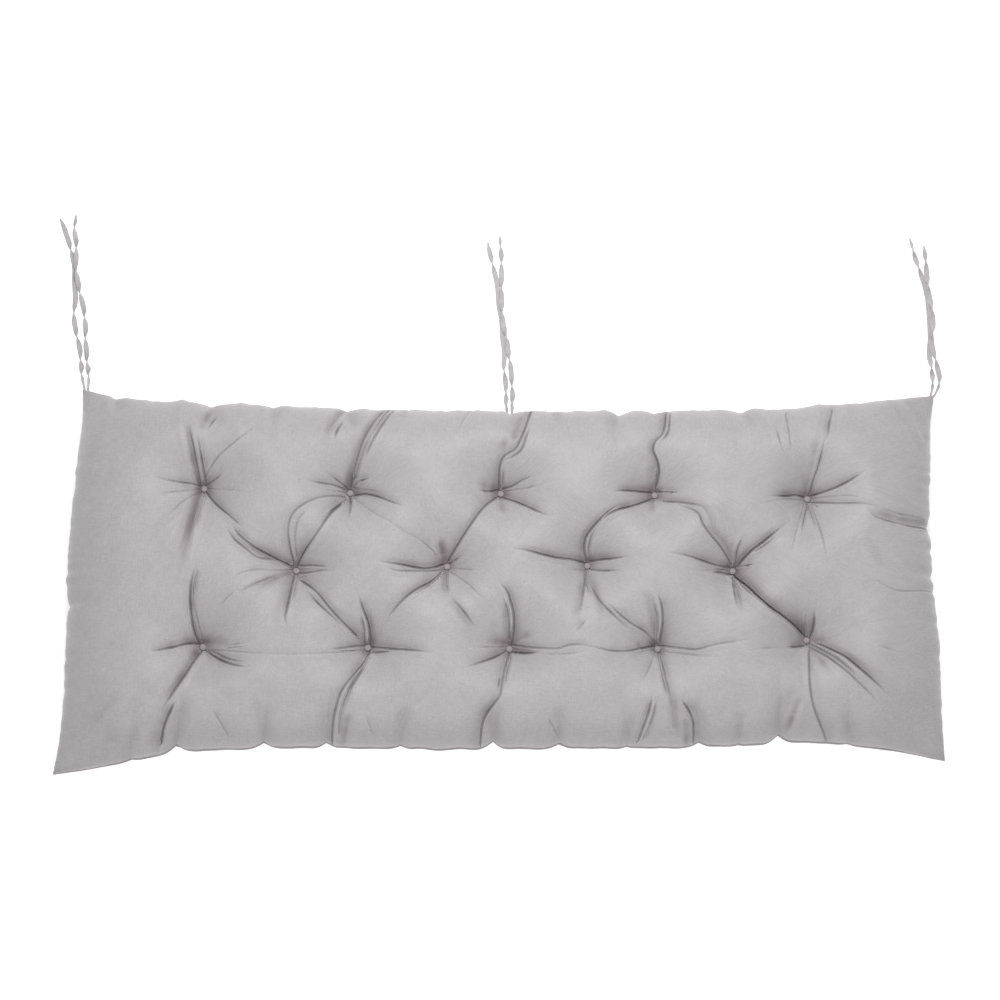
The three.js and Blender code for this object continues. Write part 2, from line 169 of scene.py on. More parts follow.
# Route in plan in metres; height of the seam, turns and the stretch on top of the twin in millimetres
TIES = {
    "tie_left_a": dict(
        route=[
            (-0.5372, 0.2474), (-0.5378, 0.253), (-0.542, 0.272), (-0.548, 0.312), (-0.5565, 0.348),
            (-0.5575, 0.385), (-0.5595, 0.405), (-0.5605, 0.425), (-0.566, 0.45), (-0.5735, 0.472),
            (-0.5775, 0.483), (-0.583, 0.495),
        ],
        seam=10.5, turns=(26, 48, 80, 114, 204), over=None,
    ),
    "tie_left_b": dict(
        route=[
            (-0.5326, 0.2468), (-0.5328, 0.253), (-0.5328, 0.269), (-0.538, 0.299), (-0.5408, 0.328),
            (-0.5435, 0.357), (-0.55, 0.386), (-0.5555, 0.409), (-0.5585, 0.43), (-0.5585, 0.456),
            (-0.562, 0.472), (-0.5625, 0.5),
        ],
        seam=11, turns=(24, 45, 78, 108, 142, 174, 206, 236), over=(112, 236),
    ),
    "tie_middle_a": dict(
        route=[
            (0.0046, 0.2036), (0.0046, 0.214), (0.0038, 0.232), (0.003, 0.262), (0.0005, 0.286),
            (0.001, 0.308), (-0.001, 0.325), (-0.0026, 0.352), (-0.006, 0.372), (-0.008, 0.4),
            (-0.013, 0.424), (-0.019, 0.452), (-0.0205, 0.461),
        ],
        seam=24, turns=(24, 46, 76, 228), over=None,
    ),
    "tie_middle_b": dict(
        route=[
            (0.01, 0.2036), (0.0106, 0.214), (0.0118, 0.245), (0.0104, 0.27), (0.0095, 0.284),
            (0.0065, 0.305), (0.004, 0.326), (0, 0.344), (-0.0018, 0.365), (-0.0022, 0.385),
            (-0.0025, 0.412), (-0.0024, 0.437), (-0.0048, 0.47),
        ],
        seam=24, turns=(28, 56, 92, 124, 158, 192, 228, 252), over=(66, 236),
    ),
    "tie_right_a": dict(
        route=[
            (0.5454, 0.2382), (0.5476, 0.244), (0.5516, 0.262), (0.552, 0.281), (0.5502, 0.303),
            (0.5525, 0.325), (0.5528, 0.356), (0.552, 0.379), (0.5488, 0.401), (0.5435, 0.42),
            (0.537, 0.445), (0.533, 0.466),
        ],
        seam=11, turns=(26, 48, 190, 216), over=None,
    ),
    "tie_right_b": dict(
        route=[
            (0.5494, 0.2397), (0.5534, 0.245), (0.5602, 0.262), (0.5606, 0.277), (0.5566, 0.299),
            (0.554, 0.318), (0.557, 0.35), (0.555, 0.376), (0.5528, 0.398), (0.552, 0.424),
            (0.5517, 0.442), (0.551, 0.456),
        ],
        seam=10.5, turns=(26, 60, 96, 130, 164, 198, 224), over=(24, 212),
    ),
}


def smoothstep(x, start, end):
    share = np.clip((x - start) / (end - start), 0, 1)
    return share * share * (3 - 2 * share)


def bell(x, width):
    """1 where x is 0, and falling away smoothly over the width."""
    return np.exp(-((x / width) ** 2))


def smooth_line(points, pieces=12):
    """Dense points of a smooth line (centripetal Catmull-Rom) through given points."""
    given = np.array(points, float)
    given = np.vstack([2 * given[0] - given[1], given, 2 * given[-1] - given[-2]])
    knots = np.cumsum(np.r_[0, np.sqrt(np.linalg.norm(np.diff(given, axis=0), axis=1))])
    dense = []
    for i in range(1, len(given) - 2):
        k0, k1, k2, k3 = knots[i - 1 : i + 3]
        p0, p1, p2, p3 = given[i - 1 : i + 3]
        k = np.linspace(k1, k2, pieces, endpoint=False)[:, None]
        a1 = ((k1 - k) * p0 + (k - k0) * p1) / (k1 - k0)
        a2 = ((k2 - k) * p1 + (k - k1) * p2) / (k2 - k1)
        a3 = ((k3 - k) * p2 + (k - k2) * p3) / (k3 - k2)
        b1 = ((k2 - k) * a1 + (k - k0) * a2) / (k2 - k0)
        b2 = ((k3 - k) * a2 + (k - k1) * a3) / (k3 - k1)
        dense.append(((k2 - k) * b1 + (k - k1) * b2) / (k2 - k1))
    return np.vstack(dense + [given[-2:-1]])


def evenly(line, count):
    """The line again as evenly spaced points, and its length."""
    runs = np.cumsum(np.r_[0, np.linalg.norm(np.diff(line, axis=0), axis=1)])
    even = np.linspace(0, runs[-1], count)
    return np.stack([np.interp(even, runs, column) for column in line.T], axis=1), runs[-1]


def tie_path(route, seam, turns, over):
    """Middle line of a tie, the direction across it, its width and its length."""
    plan, length = evenly(smooth_line(route), tie_steps + 1)
    run = np.linspace(0, length, tie_steps + 1)
    widened = smoothstep(run, tie_root_length, tie_root_reach)
    width = tie_root_width + (tie_width - tie_root_width) * widened
    width *= 1 - tie_tip_narrowing * smoothstep(run, length - tie_tip_taper, length)
    angle = sum(
        math.pi * smoothstep(run, place * MM - tie_turn_reach, place * MM + tie_turn_reach)
        for place in turns
    )
    lying = tie_thickness / 2 * abs(np.cos(angle)) + width / 2 * abs(np.sin(angle)) + tie_floor_gap
    if over:
        start, end = over[0] * MM, over[1] * MM
        up = smoothstep(run, start, start + tie_lift_reach)
        lying = lying + tie_lift * up * (1 - smoothstep(run, end - tie_lift_reach, end))
    fallen = smoothstep(run, tie_root_length, tie_fall_reach)
    places = np.column_stack([plan, seam * MM * (1 - fallen) + lying * fallen])
    ahead = np.gradient(places, axis=0)
    ahead /= np.linalg.norm(ahead, axis=1)[:, None]
    level = np.cross((0, 0, 1), ahead)
    level /= np.linalg.norm(level, axis=1)[:, None]
    turned = np.cross(ahead, level)
    across = level * np.cos(angle)[:, None] + turned * np.sin(angle)[:, None]
    return places, across, width, length


def cloth_material(name, lit, shaded, weave_depth, roughness, sheen):
    """Woven cloth: its colour with a painted shade colour mixed in, thread bump and sheen."""
    material = bpy.data.materials.new(name)
    material.use_nodes = True
    nodes, links = material.node_tree.nodes, material.node_tree.links
    surface = nodes["Principled BSDF"]
    surface.inputs["Roughness"].default_value = roughness
    surface.inputs["Sheen Weight"].default_value = sheen
    surface.inputs["Sheen Roughness"].default_value = 0.45
    surface.inputs["Specular IOR Level"].default_value = 0.28

    cloth = nodes.new("ShaderNodeUVMap")
    cloth.uv_map = "cloth"
    threads = nodes.new("ShaderNodeGroup")
    threads.node_tree = weave
    threads.inputs["Threads"].default_value = 2 * math.pi / thread_pair
    threads.inputs["Slub"].default_value = slub_tone
    links.new(cloth.outputs["UV"], threads.inputs["Cloth"])

    colours = nodes.new("ShaderNodeMix")
    colours.name = "lit and shaded"
    colours.data_type = "RGBA"
    colours.inputs["A"].default_value = (*lit, 1)
    colours.inputs["B"].default_value = (*shaded, 1)
    colours.inputs["Factor"].default_value = 0
    lighter = nodes.new("ShaderNodeMath")
    lighter.name = "lighter"
    lighter.operation = "ADD"
    lighter.inputs[1].default_value = 1
    links.new(threads.outputs["Tone"], lighter.inputs[0])
    toned = nodes.new("ShaderNodeVectorMath")
    toned.operation = "SCALE"
    links.new(colours.outputs["Result"], toned.inputs[0])
    links.new(lighter.outputs[0], toned.inputs["Scale"])
    links.new(toned.outputs["Vector"], surface.inputs["Base Color"])

    relief = nodes.new("ShaderNodeBump")
    relief.name = "thread relief"
    relief.inputs["Strength"].default_value = 0.35
    relief.inputs["Distance"].default_value = weave_depth
    links.new(threads.outputs["Height"], relief.inputs["Height"])
    links.new(relief.outputs["Normal"], surface.inputs["Normal"])
    return material


def piece_from(bm, name, material):
    """Object of a finished bmesh, smooth shaded, riding on the one body of the part."""
    mesh = bpy.data.meshes.new(name)
    bm.to_mesh(mesh)
    bm.free()
    mesh.shade_smooth()
    mesh.materials.append(material)
    obj = bpy.data.objects.new(name, mesh)
    scene.collection.objects.link(obj)
    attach(obj, "root")
    return obj


tie_cloth = cloth_material(
    "tie_cloth", (0.37, 0.352, 0.358), (0.17, 0.14, 0.15), 0.12 * MM, 0.62, 0.25
)


def make_tie(name, route, seam, turns, over):
    """One tie: a ribbon of two layers, rippled a little, along its route."""
    places, across, width, length = tie_path(route, seam, turns, over)
    bm = bmesh.new()
    bm.loops.layers.uv.new("cloth")
    bmesh.ops.create_grid(
        bm, x_segments=tie_cells_across, y_segments=tie_steps, size=0.5, calc_uvs=True
    )
    cloth = bm.loops.layers.uv.active
    for face in bm.faces:
        for corner in face.loops:
            corner[cloth].uv = (corner[cloth].uv.x * tie_width, corner[cloth].uv.y * length)
    ahead = np.gradient(places, axis=0)
    seed = seam + 7 * route[0][0]
    for vert in bm.verts:
        step = round((vert.co.y + 0.5) * tie_steps)
        side = vert.co.x
        ripple = noise.noise(Vector((step * tie_ripples_along, side * tie_ripples_across, seed)))
        up = Vector(np.cross(across[step], ahead[step])).normalized()
        vert.co = Vector(places[step]) + Vector(across[step]) * side * width[step]
        vert.co += up * ripple * tie_crumple * min(step / tie_crumple_steps, 1)
    tie = piece_from(bm, name + "_ribbon", tie_cloth)
    folded = tie.modifiers.new("two layers of cloth", "SOLIDIFY")
    folded.thickness = tie_thickness
    folded.offset = 0
    soft = tie.modifiers.new("soft edges", "SUBSURF")
    soft.levels = soft.render_levels = 1
    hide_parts(name)


for tie_name, tie in TIES.items():
    make_tie(tie_name, **tie)

# Cushion
# One filled form: an upper and an under panel sewn round the edge, drawn in between the four
# corner tips. Twine pulls the cover down at fourteen tufts, and folds run from tuft to tuft and
# from the tufts to the gathered seam. The pads between them are settled as cloth under pressure.
FRONT_LEFT = (-551.5, -250.5)
FRONT_RIGHT = (540.5, -233.5)
BACK_LEFT = (-539.5, 250.5)
BACK_RIGHT = (551.5, 242.5)

# Sides between the tips: front and back give y at x, the ends give x at y
FRONT_SIDE = [
    (-500, -243), (-450, -234.5), (-400, -225.5), (-350, -222), (-200, -219.5), (-100, -221.5),
    (100, -220), (200, -219.5), (300, -216.5), (370, -212.5), (430, -217), (490, -223.5),
]
BACK_SIDE = [
    (-500, 240), (-450, 230), (-380, 223.5), (-300, 220.5), (-200, 216.5), (-100, 214),
    (100, 213), (200, 213), (300, 214.5), (380, 217), (440, 223.5), (490, 232.5),
]
LEFT_SIDE = [
    (-544, -200), (-541, -150), (-541, -60), (-543.5, 0), (-542, 75), (-539, 150), (-537, 215),
]
RIGHT_SIDE = [
    (538, -150), (538.5, -100), (535.5, -50), (533.5, 0), (534, 50), (535, 100), (540, 150), (544, 200),
]

# Gathers that the seam draws in: place along the side, depth, half width
FRONT_GATHERS = [
    (-400, 9, 11), (-293, 7, 11), (-217, 6, 10), (-126, 5, 10), (-13, 9, 11), (68, 5, 10),
    (150, 2, 8), (239, 6, 10), (287, 2, 8), (336, 9, 11), (420, 2, 8), (-455, 2, 9),
]
BACK_GATHERS = [
    (-370, 5, 11), (-333, -2, 12), (-292, 3, 9), (-199, 5, 11), (-120, 2, 10), (9, 6, 10), (60, 2, 9),
    (146, 5, 11), (190, 3, 9), (300, 3, 10), (-407, -3, 10), (400, -4, 14), (-495, 3, 9),
]
LEFT_GATHERS = [(-45, 3, 11), (110, 2, 10), (-150, 1.5, 10)]
RIGHT_GATHERS = [(-10, 2, 10), (57, 6, 9), (-110, 1.5, 10)]

TUFTS = {
    "t1": (-375, 105.5), "t2": (-192, 100), "t3": (-3.5, 99), "t4": (189, 97), "t5": (380, 92),
    "m1": (-257, -1.5), "m2": (-70, 4), "m3": (104, 5), "m4": (284, -2),
    "b1": (-369.5, -99), "b2": (-167, -100), "b3": (7, -101.5), "b4": (189, -101.5), "b5": (372.5, -90.5),
}

# Heights and reaches of the filled form
crown = 78 * MM
tuft_floor = 45 * MM
seam_at_tip = 10 * MM
seam_at_middle = 25 * MM
tip_reach = 150 * MM
under_dimple = 11 * MM
lip_at_tip = 3 * MM
lip_at_middle = 7 * MM
lower_lip_share = 0.4
groove = 1.6 * MM
groove_reach = 30 * MM
front_sag = 4 * MM
front_sag_reach = 80 * MM
under_swell = 0.3 * MM
under_swell_reach = 8 * MM
rim_waver = 2.4
rim_waves = 45
rim_samples = 700
gather_dip = 0.55
gather_nick = 0.6
gather_nick_width = 0.45
upper_roll = 88 * MM
under_roll = 56 * MM
tuft_reach = 84 * MM
tuft_flat = 4.2 * MM
tuft_power = 2
dimple_reach = 38 * MM
ear_reach = 85 * MM
ear_flatten = 0.45

# Kinds of crease, sizes in millimetres: the height and half width of the broad trough, of the narrow
# valley at its bottom and of the ridge beside it, how crisp a line the pinched cloth makes there, drawn
# in painted shade (raised and painted lighter where it is below 0), how much painted shade it holds,
# and how high it stands as a rib
KIND_COLUMNS = (
    "trough", "trough_width", "valley", "valley_width", "ridge", "ridge_width", "line", "painted_shade", "rib",
)
KINDS = {
    "gash": (4.5, 11, 6, 2.4, 1.8, 4.4, 2.6, 0.5, 0),
    "deep": (2.6, 8, 2.4, 2.6, 1.6, 3.4, 1, 0.46, 0),
    "line": (1.2, 6, 1.2, 2.4, 1.1, 3.2, 0.62, 0.24, 0),
    "soft": (3.4, 5, 0, 4, 1, 5, 0, 0.48, 0),
    "band": (3.6, 6, 0.8, 3, 1.6, 5, 0, 0.85, 0),
    "drape": (0.9, 7, 0, 4, 0.7, 6, 0, 0.12, 0),
    "faint": (0.9, 6, 0.3, 2.4, 0.6, 3.6, 0.28, 0.08, 0),
    "pleat": (3, 9, 0.3, 4, 0.6, 7, 0, 0.18, 0),
    "rib": (0, 4, 0, 3, 0, 4, -0.8, 0, 2.3),
}
kinds = {kind: dict(zip(KIND_COLUMNS, row)) for kind, row in KINDS.items()}
rib_width = 2.8 * MM

# Creases round each tuft: kind, then the places along it in the camera's picture of 1000 by 1000
CREASES = {
    "t1": [
        ("rib", (202, 485), (199, 468), (196, 452), (192, 434), (190, 420)),
        ("line", (206, 482), (203, 466), (200, 448), (197, 430)),
        ("band", (199, 484), (196, 472), (192, 456), (188, 437), (184, 420)),
        ("faint", (207, 474), (218, 457), (236, 440), (262, 420)),
        ("line", (205, 486), (212, 482), (219, 476), (223, 472)),
        ("line", (201, 486), (190, 484), (174, 481), (154, 476)),
        ("faint", (199, 490), (175, 491), (152, 494)),
        ("faint", (199, 493), (181, 502), (166, 518)),
        ("band", (201, 493), (195, 512), (189, 532), (183, 553), (179, 571)),
        ("drape", (196, 496), (178, 508), (158, 524), (136, 543)),
        ("drape", (188, 506), (170, 524), (154, 542)),
        ("rib", (203, 498), (198, 516), (193, 534)),
        ("deep", (207, 493), (216, 504), (228, 514), (238, 523), (244, 529)),
        ("faint", (208, 489), (230, 490), (250, 492)),
        ("soft", (210, 414), (204, 424), (201, 434)),
        ("line", (217, 416), (211, 424), (207, 430)),
    ],
    "m1": [
        ("deep", (231, 524), (240, 535), (254, 546), (270, 555), (289, 565)),
        ("line", (224, 524), (234, 538), (246, 548), (258, 557), (274, 560), (289, 567)),
        ("soft", (232, 531), (250, 547), (266, 557), (286, 565)),
        ("line", (342, 496), (324, 496), (306, 502), (292, 514), (288, 528), (289, 543), (293, 561)),
        ("faint", (310, 508), (299, 518), (295, 534), (296, 552)),
        ("deep", (341, 503), (330, 514), (320, 528), (312, 540), (304, 552), (298, 564)),
        ("rib", (343, 501), (333, 508), (324, 516)),
        ("line", (300, 566), (310, 565), (320, 566), (331, 567)),
        ("line", (300, 573), (310, 572), (320, 570), (333, 570)),
        ("faint", (290, 570), (274, 570), (258, 569), (240, 573), (227, 583)),
        ("soft", (290, 574), (276, 579), (262, 587), (249, 594)),
        ("rib", (276, 575), (256, 583), (238, 592)),
        ("drape", (284, 577), (264, 591), (244, 608)),
        ("faint", (236, 589), (224, 600), (214, 611)),
        ("deep", (294, 577), (291, 590), (288, 603), (285, 616), (286, 627)),
        ("rib", (297, 578), (294, 591), (291, 604)),
        ("deep", (302, 581), (316, 591), (330, 608), (342, 621), (356, 635)),
        ("line", (306, 590), (320, 605), (334, 618), (350, 633)),
    ],
    "b1": [
        ("deep", (194, 568), (191, 582), (190, 600), (192, 620), (195, 634), (200, 644)),
        ("rib", (199, 568), (195, 584), (194, 600)),
        ("faint", (194, 604), (198, 622), (202, 637)),
        ("deep", (199, 643), (188, 643), (176, 646), (162, 649), (148, 652)),
        ("soft", (206, 642), (218, 643), (234, 645)),
        ("faint", (225, 645), (248, 643)),
        ("deep", (207, 651), (216, 657), (228, 663), (240, 666), (250, 667)),
        ("line", (214, 652), (226, 658), (240, 661), (249, 661)),
        ("deep", (201, 652), (193, 662), (184, 676), (174, 690), (166, 702), (160, 713)),
        ("deep", (175, 701), (169, 712), (164, 724), (161, 740)),
        ("band", (197, 654), (189, 666), (180, 680), (171, 693), (162, 706)),
        ("drape", (194, 656), (172, 672), (150, 690), (126, 708)),
        ("drape", (158, 716), (144, 727), (130, 737), (112, 742)),
        ("drape", (122, 690), (102, 715), (82, 740)),
        ("faint", (212, 708), (220, 722), (226, 732)),
        ("faint", (208, 650), (260, 653), (320, 653), (352, 651)),
    ],
    "t2": [
        ("band", (351, 485), (354, 470), (358, 455), (363, 441), (370, 428), (379, 418), (388, 411)),
        ("line", (354, 474), (358, 456), (364, 438), (371, 425), (381, 414)),
        ("rib", (355, 476), (361, 457), (367, 441), (375, 427), (387, 411)),
        ("line", (363, 462), (369, 448), (376, 434), (384, 422), (392, 413)),
        ("soft", (344, 413), (334, 422), (327, 433), (328, 447)),
        ("line", (344, 421), (337, 431), (334, 441)),
        ("line", (346, 490), (334, 485), (320, 482), (306, 480)),
        ("line", (347, 488), (337, 480), (326, 472)),
        ("faint", (345, 492), (332, 490), (318, 489)),
        ("line", (351, 488), (352, 479)),
        ("line", (353, 488), (358, 482), (364, 480)),
        ("deep", (355, 495), (364, 494), (376, 496), (388, 500), (404, 506)),
        ("faint", (356, 489), (370, 490), (388, 494)),
        ("faint", (356, 500), (376, 514), (390, 521), (404, 531), (420, 539), (434, 552)),
        ("line", (350, 498), (350, 509), (348, 519)),
        ("rib", (352, 498), (353, 510)),
    ],
    "t3": [
        ("deep", (499, 488), (499, 476), (500, 464), (504, 456), (515, 449), (520, 440), (525, 428),
         (531, 412)),
        ("line", (504, 461), (512, 457), (521, 450), (526, 437), (532, 421)),
        ("soft", (503, 455), (505, 446), (508, 435)),
        ("soft", (513, 446), (516, 434), (521, 420)),
        ("rib", (502, 488), (502, 476), (503, 464)),
        ("line", (503, 489), (512, 486), (522, 480), (535, 475)),
        ("faint", (506, 491), (530, 487), (553, 481)),
        ("deep", (498, 490), (488, 491), (479, 490)),
        ("soft", (494, 487), (484, 486)),
        ("deep", (496, 497), (488, 503), (480, 511), (472, 522), (462, 537), (454, 550), (449, 559)),
        ("deep", (504, 498), (513, 500), (525, 505), (538, 511), (552, 517)),
        ("soft", (500, 498), (501, 509)),
        ("faint", (470, 412), (461, 424), (456, 434)),
    ],
    "m2": [
        ("band", (445, 562), (441, 548), (440, 533)),
        ("deep", (443, 564), (434, 567), (424, 568), (410, 566), (396, 563), (378, 561)),
        ("line", (442, 570), (430, 571), (410, 571), (396, 570), (382, 566)),
        ("line", (450, 563), (457, 558)),
        ("faint", (452, 568), (466, 569), (482, 570)),
        ("deep", (441, 573), (430, 582), (416, 589), (404, 598), (393, 610), (384, 622)),
        ("line", (438, 578), (428, 586), (410, 596)),
        ("soft", (444, 573), (443, 586), (446, 599)),
        ("rib", (448, 573), (448, 586), (450, 596)),
        ("rib", (451, 597), (462, 608), (471, 620), (479, 631)),
        ("soft", (447, 600), (458, 612), (467, 624), (475, 634)),
        ("faint", (452, 573), (468, 584), (480, 596), (493, 611)),
    ],
    "b2": [
        ("deep", (359, 595), (363, 608), (368, 622), (370, 633), (370, 643)),
        ("rib", (362, 614), (365, 628), (366, 641)),
        ("line", (363, 646), (356, 646), (342, 648), (326, 650)),
        ("faint", (362, 650), (346, 652), (326, 654)),
        ("deep", (372, 647), (382, 648), (396, 649), (414, 650), (434, 653)),
        ("line", (371, 652), (383, 652), (396, 651)),
        ("deep", (369, 653), (364, 662), (356, 672), (347, 682), (340, 693), (336, 705), (333, 720),
         (332, 740)),
        ("line", (367, 661), (359, 675), (351, 687), (346, 699)),
        ("rib", (368, 657), (361, 669), (352, 681), (346, 694), (341, 710), (339, 728)),
        ("soft", (350, 712), (347, 725), (344, 742)),
        ("soft", (364, 664), (354, 682), (347, 698), (342, 714)),
        ("faint", (366, 716), (371, 730)),
    ],
    "b3": [
        ("deep", (500, 583), (507, 590), (511, 602), (514, 614), (514, 628), (512, 643)),
        ("rib", (504, 596), (508, 608), (510, 622), (511, 638)),
        ("soft", (501, 602), (505, 617), (507, 631), (508, 643)),
        ("soft", (506, 643), (494, 642), (484, 639)),
        ("soft", (514, 642), (524, 637), (536, 638)),
        ("deep", (505, 652), (494, 657), (480, 662), (466, 667)),
        ("faint", (505, 647), (486, 647), (470, 647)),
        ("deep", (514, 652), (528, 653), (542, 652)),
        ("line", (513, 645), (528, 647), (544, 648), (558, 648), (568, 645), (580, 644), (592, 646),
         (608, 650)),
        ("line", (592, 646), (608, 650), (624, 651), (640, 649), (653, 646)),
        ("faint", (540, 654), (562, 654), (590, 651)),
        ("deep", (509, 655), (505, 668), (502, 681), (500, 694), (494, 703), (486, 713), (482, 725),
         (480, 742)),
        ("rib", (510, 658), (506, 672), (504, 688)),
        ("line", (500, 676), (498, 690)),
        ("faint", (548, 718), (556, 732)),
    ],
    "m3": [
        ("deep", (586, 560), (584, 549), (586, 537), (592, 528), (600, 519), (610, 510), (623, 503)),
        ("rib", (588, 558), (588, 546), (591, 534), (598, 525)),
        ("deep", (598, 527), (606, 516), (616, 510), (630, 506), (640, 503), (651, 499)),
        ("deep", (583, 562), (572, 559), (556, 557), (540, 553), (525, 549), (510, 548)),
        ("deep", (590, 561), (600, 559), (612, 558), (628, 556)),
        ("line", (591, 569), (604, 570), (622, 570)),
        ("rib", (588, 571), (587, 580), (589, 590), (595, 600)),
        ("soft", (586, 571), (583, 590), (579, 610), (577, 624)),
        ("line", (586, 576), (583, 593), (580, 612)),
        ("line", (590, 583), (600, 600), (612, 613), (626, 626), (639, 635)),
        ("line", (607, 602), (620, 614), (632, 624), (644, 631), (653, 641)),
        ("soft", (589, 576), (595, 594), (600, 608), (604, 623)),
        ("faint", (586, 620), (574, 633)),
        ("faint", (583, 570), (568, 569)),
    ],
    "t4": [
        ("deep", (651, 492), (640, 491), (624, 490), (611, 492)),
        ("line", (658, 492), (672, 492)),
        ("deep", (656, 487), (659, 472), (657, 460), (653, 450), (655, 441), (662, 434), (665, 425),
         (666, 410)),
        ("soft", (653, 487), (652, 473), (653, 459)),
        ("line", (661, 442), (668, 432), (670, 416)),
        ("rib", (655, 482), (656, 468)),
        ("soft", (658, 499), (676, 501), (692, 504), (704, 508), (710, 518), (712, 530), (722, 541),
         (731, 558)),
        ("line", (664, 501), (688, 503), (703, 507), (710, 517)),
        ("line", (676, 504), (698, 513), (703, 524), (711, 535), (720, 546), (729, 560)),
        ("soft", (653, 500), (653, 515)),
    ],
    "m4": [
        ("deep", (729, 567), (718, 565), (702, 560), (686, 555), (669, 552)),
        ("deep", (730, 574), (720, 572), (711, 572)),
        ("faint", (728, 570), (710, 570), (690, 571)),
        ("soft", (731, 563), (731, 552), (734, 538)),
        ("rib", (734, 564), (736, 550), (743, 534)),
        ("deep", (738, 565), (746, 556), (752, 550), (764, 541), (776, 531), (789, 521)),
        ("line", (750, 554), (764, 546), (778, 535)),
        ("line", (736, 567), (748, 565)),
        ("gash", (735, 576), (748, 586), (760, 597), (772, 607), (784, 616), (796, 625), (804, 634)),
        ("rib", (734, 577), (738, 590), (741, 602), (744, 613)),
        ("line", (733, 580), (735, 592), (738, 608)),
        ("line", (737, 580), (747, 590), (756, 598)),
    ],
    "t5": [
        ("deep", (804, 497), (796, 495), (784, 496), (766, 496)),
        ("faint", (803, 500), (780, 500), (760, 504)),
        ("soft", (807, 493), (808, 482), (812, 467), (816, 451), (819, 430)),
        ("drape", (803, 491), (803, 477), (806, 458), (810, 440)),
        ("rib", (809, 492), (812, 480), (817, 466), (821, 450), (824, 436)),
        ("deep", (810, 496), (822, 492), (836, 487), (850, 480), (867, 469)),
        ("faint", (812, 499), (840, 495), (856, 496), (869, 502)),
        ("line", (812, 502), (840, 503), (864, 503), (883, 508)),
        ("rib", (806, 506), (803, 518), (800, 534)),
        ("rib", (809, 506), (813, 518), (818, 530)),
        ("faint", (804, 504), (797, 528), (790, 558)),
        ("faint", (811, 504), (820, 528), (828, 560)),
        ("line", (832, 412), (829, 426), (828, 440)),
        ("faint", (786, 416), (790, 436), (792, 456)),
        ("faint", (776, 424), (780, 440), (786, 456)),
    ],
    "b5": [
        ("deep", (811, 635), (814, 624), (814, 609)),
        ("rib", (807, 635), (805, 622), (805, 610)),
        ("deep", (804, 645), (796, 646), (786, 647)),
        ("faint", (786, 647), (768, 648), (750, 650)),
        ("line", (662, 646), (680, 648), (696, 649), (712, 645), (728, 642), (752, 640)),
        ("faint", (668, 652), (698, 655), (720, 657)),
        ("rib", (812, 644), (824, 650), (836, 657), (850, 668), (866, 684)),
        ("deep", (820, 644), (832, 649), (845, 656), (857, 665), (870, 676), (884, 690), (893, 699)),
        ("line", (811, 647), (828, 657), (842, 667), (856, 679), (870, 693), (883, 709)),
        ("soft", (811, 650), (822, 662), (832, 676)),
        ("line", (809, 652), (810, 675), (811, 690), (814, 706), (820, 722), (827, 738)),
        ("soft", (801, 695), (796, 708), (790, 726)),
        ("faint", (880, 646), (899, 652)),
        ("soft", (811, 641), (824, 640), (838, 641)),
    ],
    "b4": [
        ("rib", (657, 640), (658, 622), (655, 604), (650, 590)),
        ("deep", (660, 641), (663, 623), (662, 606), (657, 590)),
        ("soft", (654, 640), (652, 622), (648, 602), (643, 588)),
        ("deep", (652, 646), (641, 648)),
        ("rib", (659, 656), (663, 676), (667, 694), (670, 712)),
        ("soft", (659, 653), (665, 672), (671, 694), (675, 726)),
        ("line", (661, 660), (667, 682), (673, 706)),
        ("faint", (655, 652), (649, 668), (640, 684)),
        ("deep", (681, 699), (688, 708), (693, 720), (694, 740)),
        ("line", (652, 696), (648, 714), (639, 738)),
        ("rib", (655, 700), (652, 716), (645, 734)),
        ("soft", (685, 714), (686, 742)),
    ],
    "right end": [
        ("line", (869, 510), (874, 515), (884, 519), (896, 522), (912, 526), (924, 529)),
        ("soft", (872, 511), (886, 516), (902, 520), (922, 524)),
        ("faint", (880, 508), (898, 513), (922, 519)),
        ("faint", (872, 574), (884, 584), (900, 590), (930, 592)),
        ("drape", (866, 540), (880, 556), (890, 574)),
        ("drape", (906, 402), (917, 418), (925, 438)),
        ("drape", (890, 404), (906, 424), (920, 450)),
    ],
}

length = (FRONT_RIGHT[0] - FRONT_LEFT[0]) * MM
depth = (BACK_LEFT[1] - FRONT_LEFT[1]) * MM
tufts = {name: np.array(place) * MM for name, place in TUFTS.items()}


def side(start, end, along, points, gathers, inward):
    """A side from tip to tip: for shares 0 to 1 of its length, the places along it in plan."""
    line = smooth_line([start, *points, end])
    share = (line[:, along] - start[along]) / (end[along] - start[along])
    table = np.linspace(0, 1, rim_samples)
    waver = [noise.noise(Vector((place * rim_waves, inward, along))) for place in table]
    waver = np.array(waver) * rim_waver * np.sin(math.pi * table)

    def places(shares):
        at = start[along] + (end[along] - start[along]) * shares
        off = np.interp(shares, share, line[:, 1 - along]) + np.interp(shares, table, waver)
        for place, deep, wide in gathers:
            away = np.abs(at - place) / wide
            notch = gather_dip * bell(away, 1) + gather_nick * np.exp(-away / gather_nick_width)
            off = off + inward * deep * notch
        pair = (at, off) if along == 0 else (off, at)
        return np.stack(pair, axis=-1) * MM

    return places


front = side(FRONT_LEFT, FRONT_RIGHT, 0, FRONT_SIDE, FRONT_GATHERS, 1)
back = side(BACK_LEFT, BACK_RIGHT, 0, BACK_SIDE, BACK_GATHERS, -1)
left = side(FRONT_LEFT, BACK_LEFT, 1, LEFT_SIDE, LEFT_GATHERS, 1)
right = side(FRONT_RIGHT, BACK_RIGHT, 1, RIGHT_SIDE, RIGHT_GATHERS, -1)


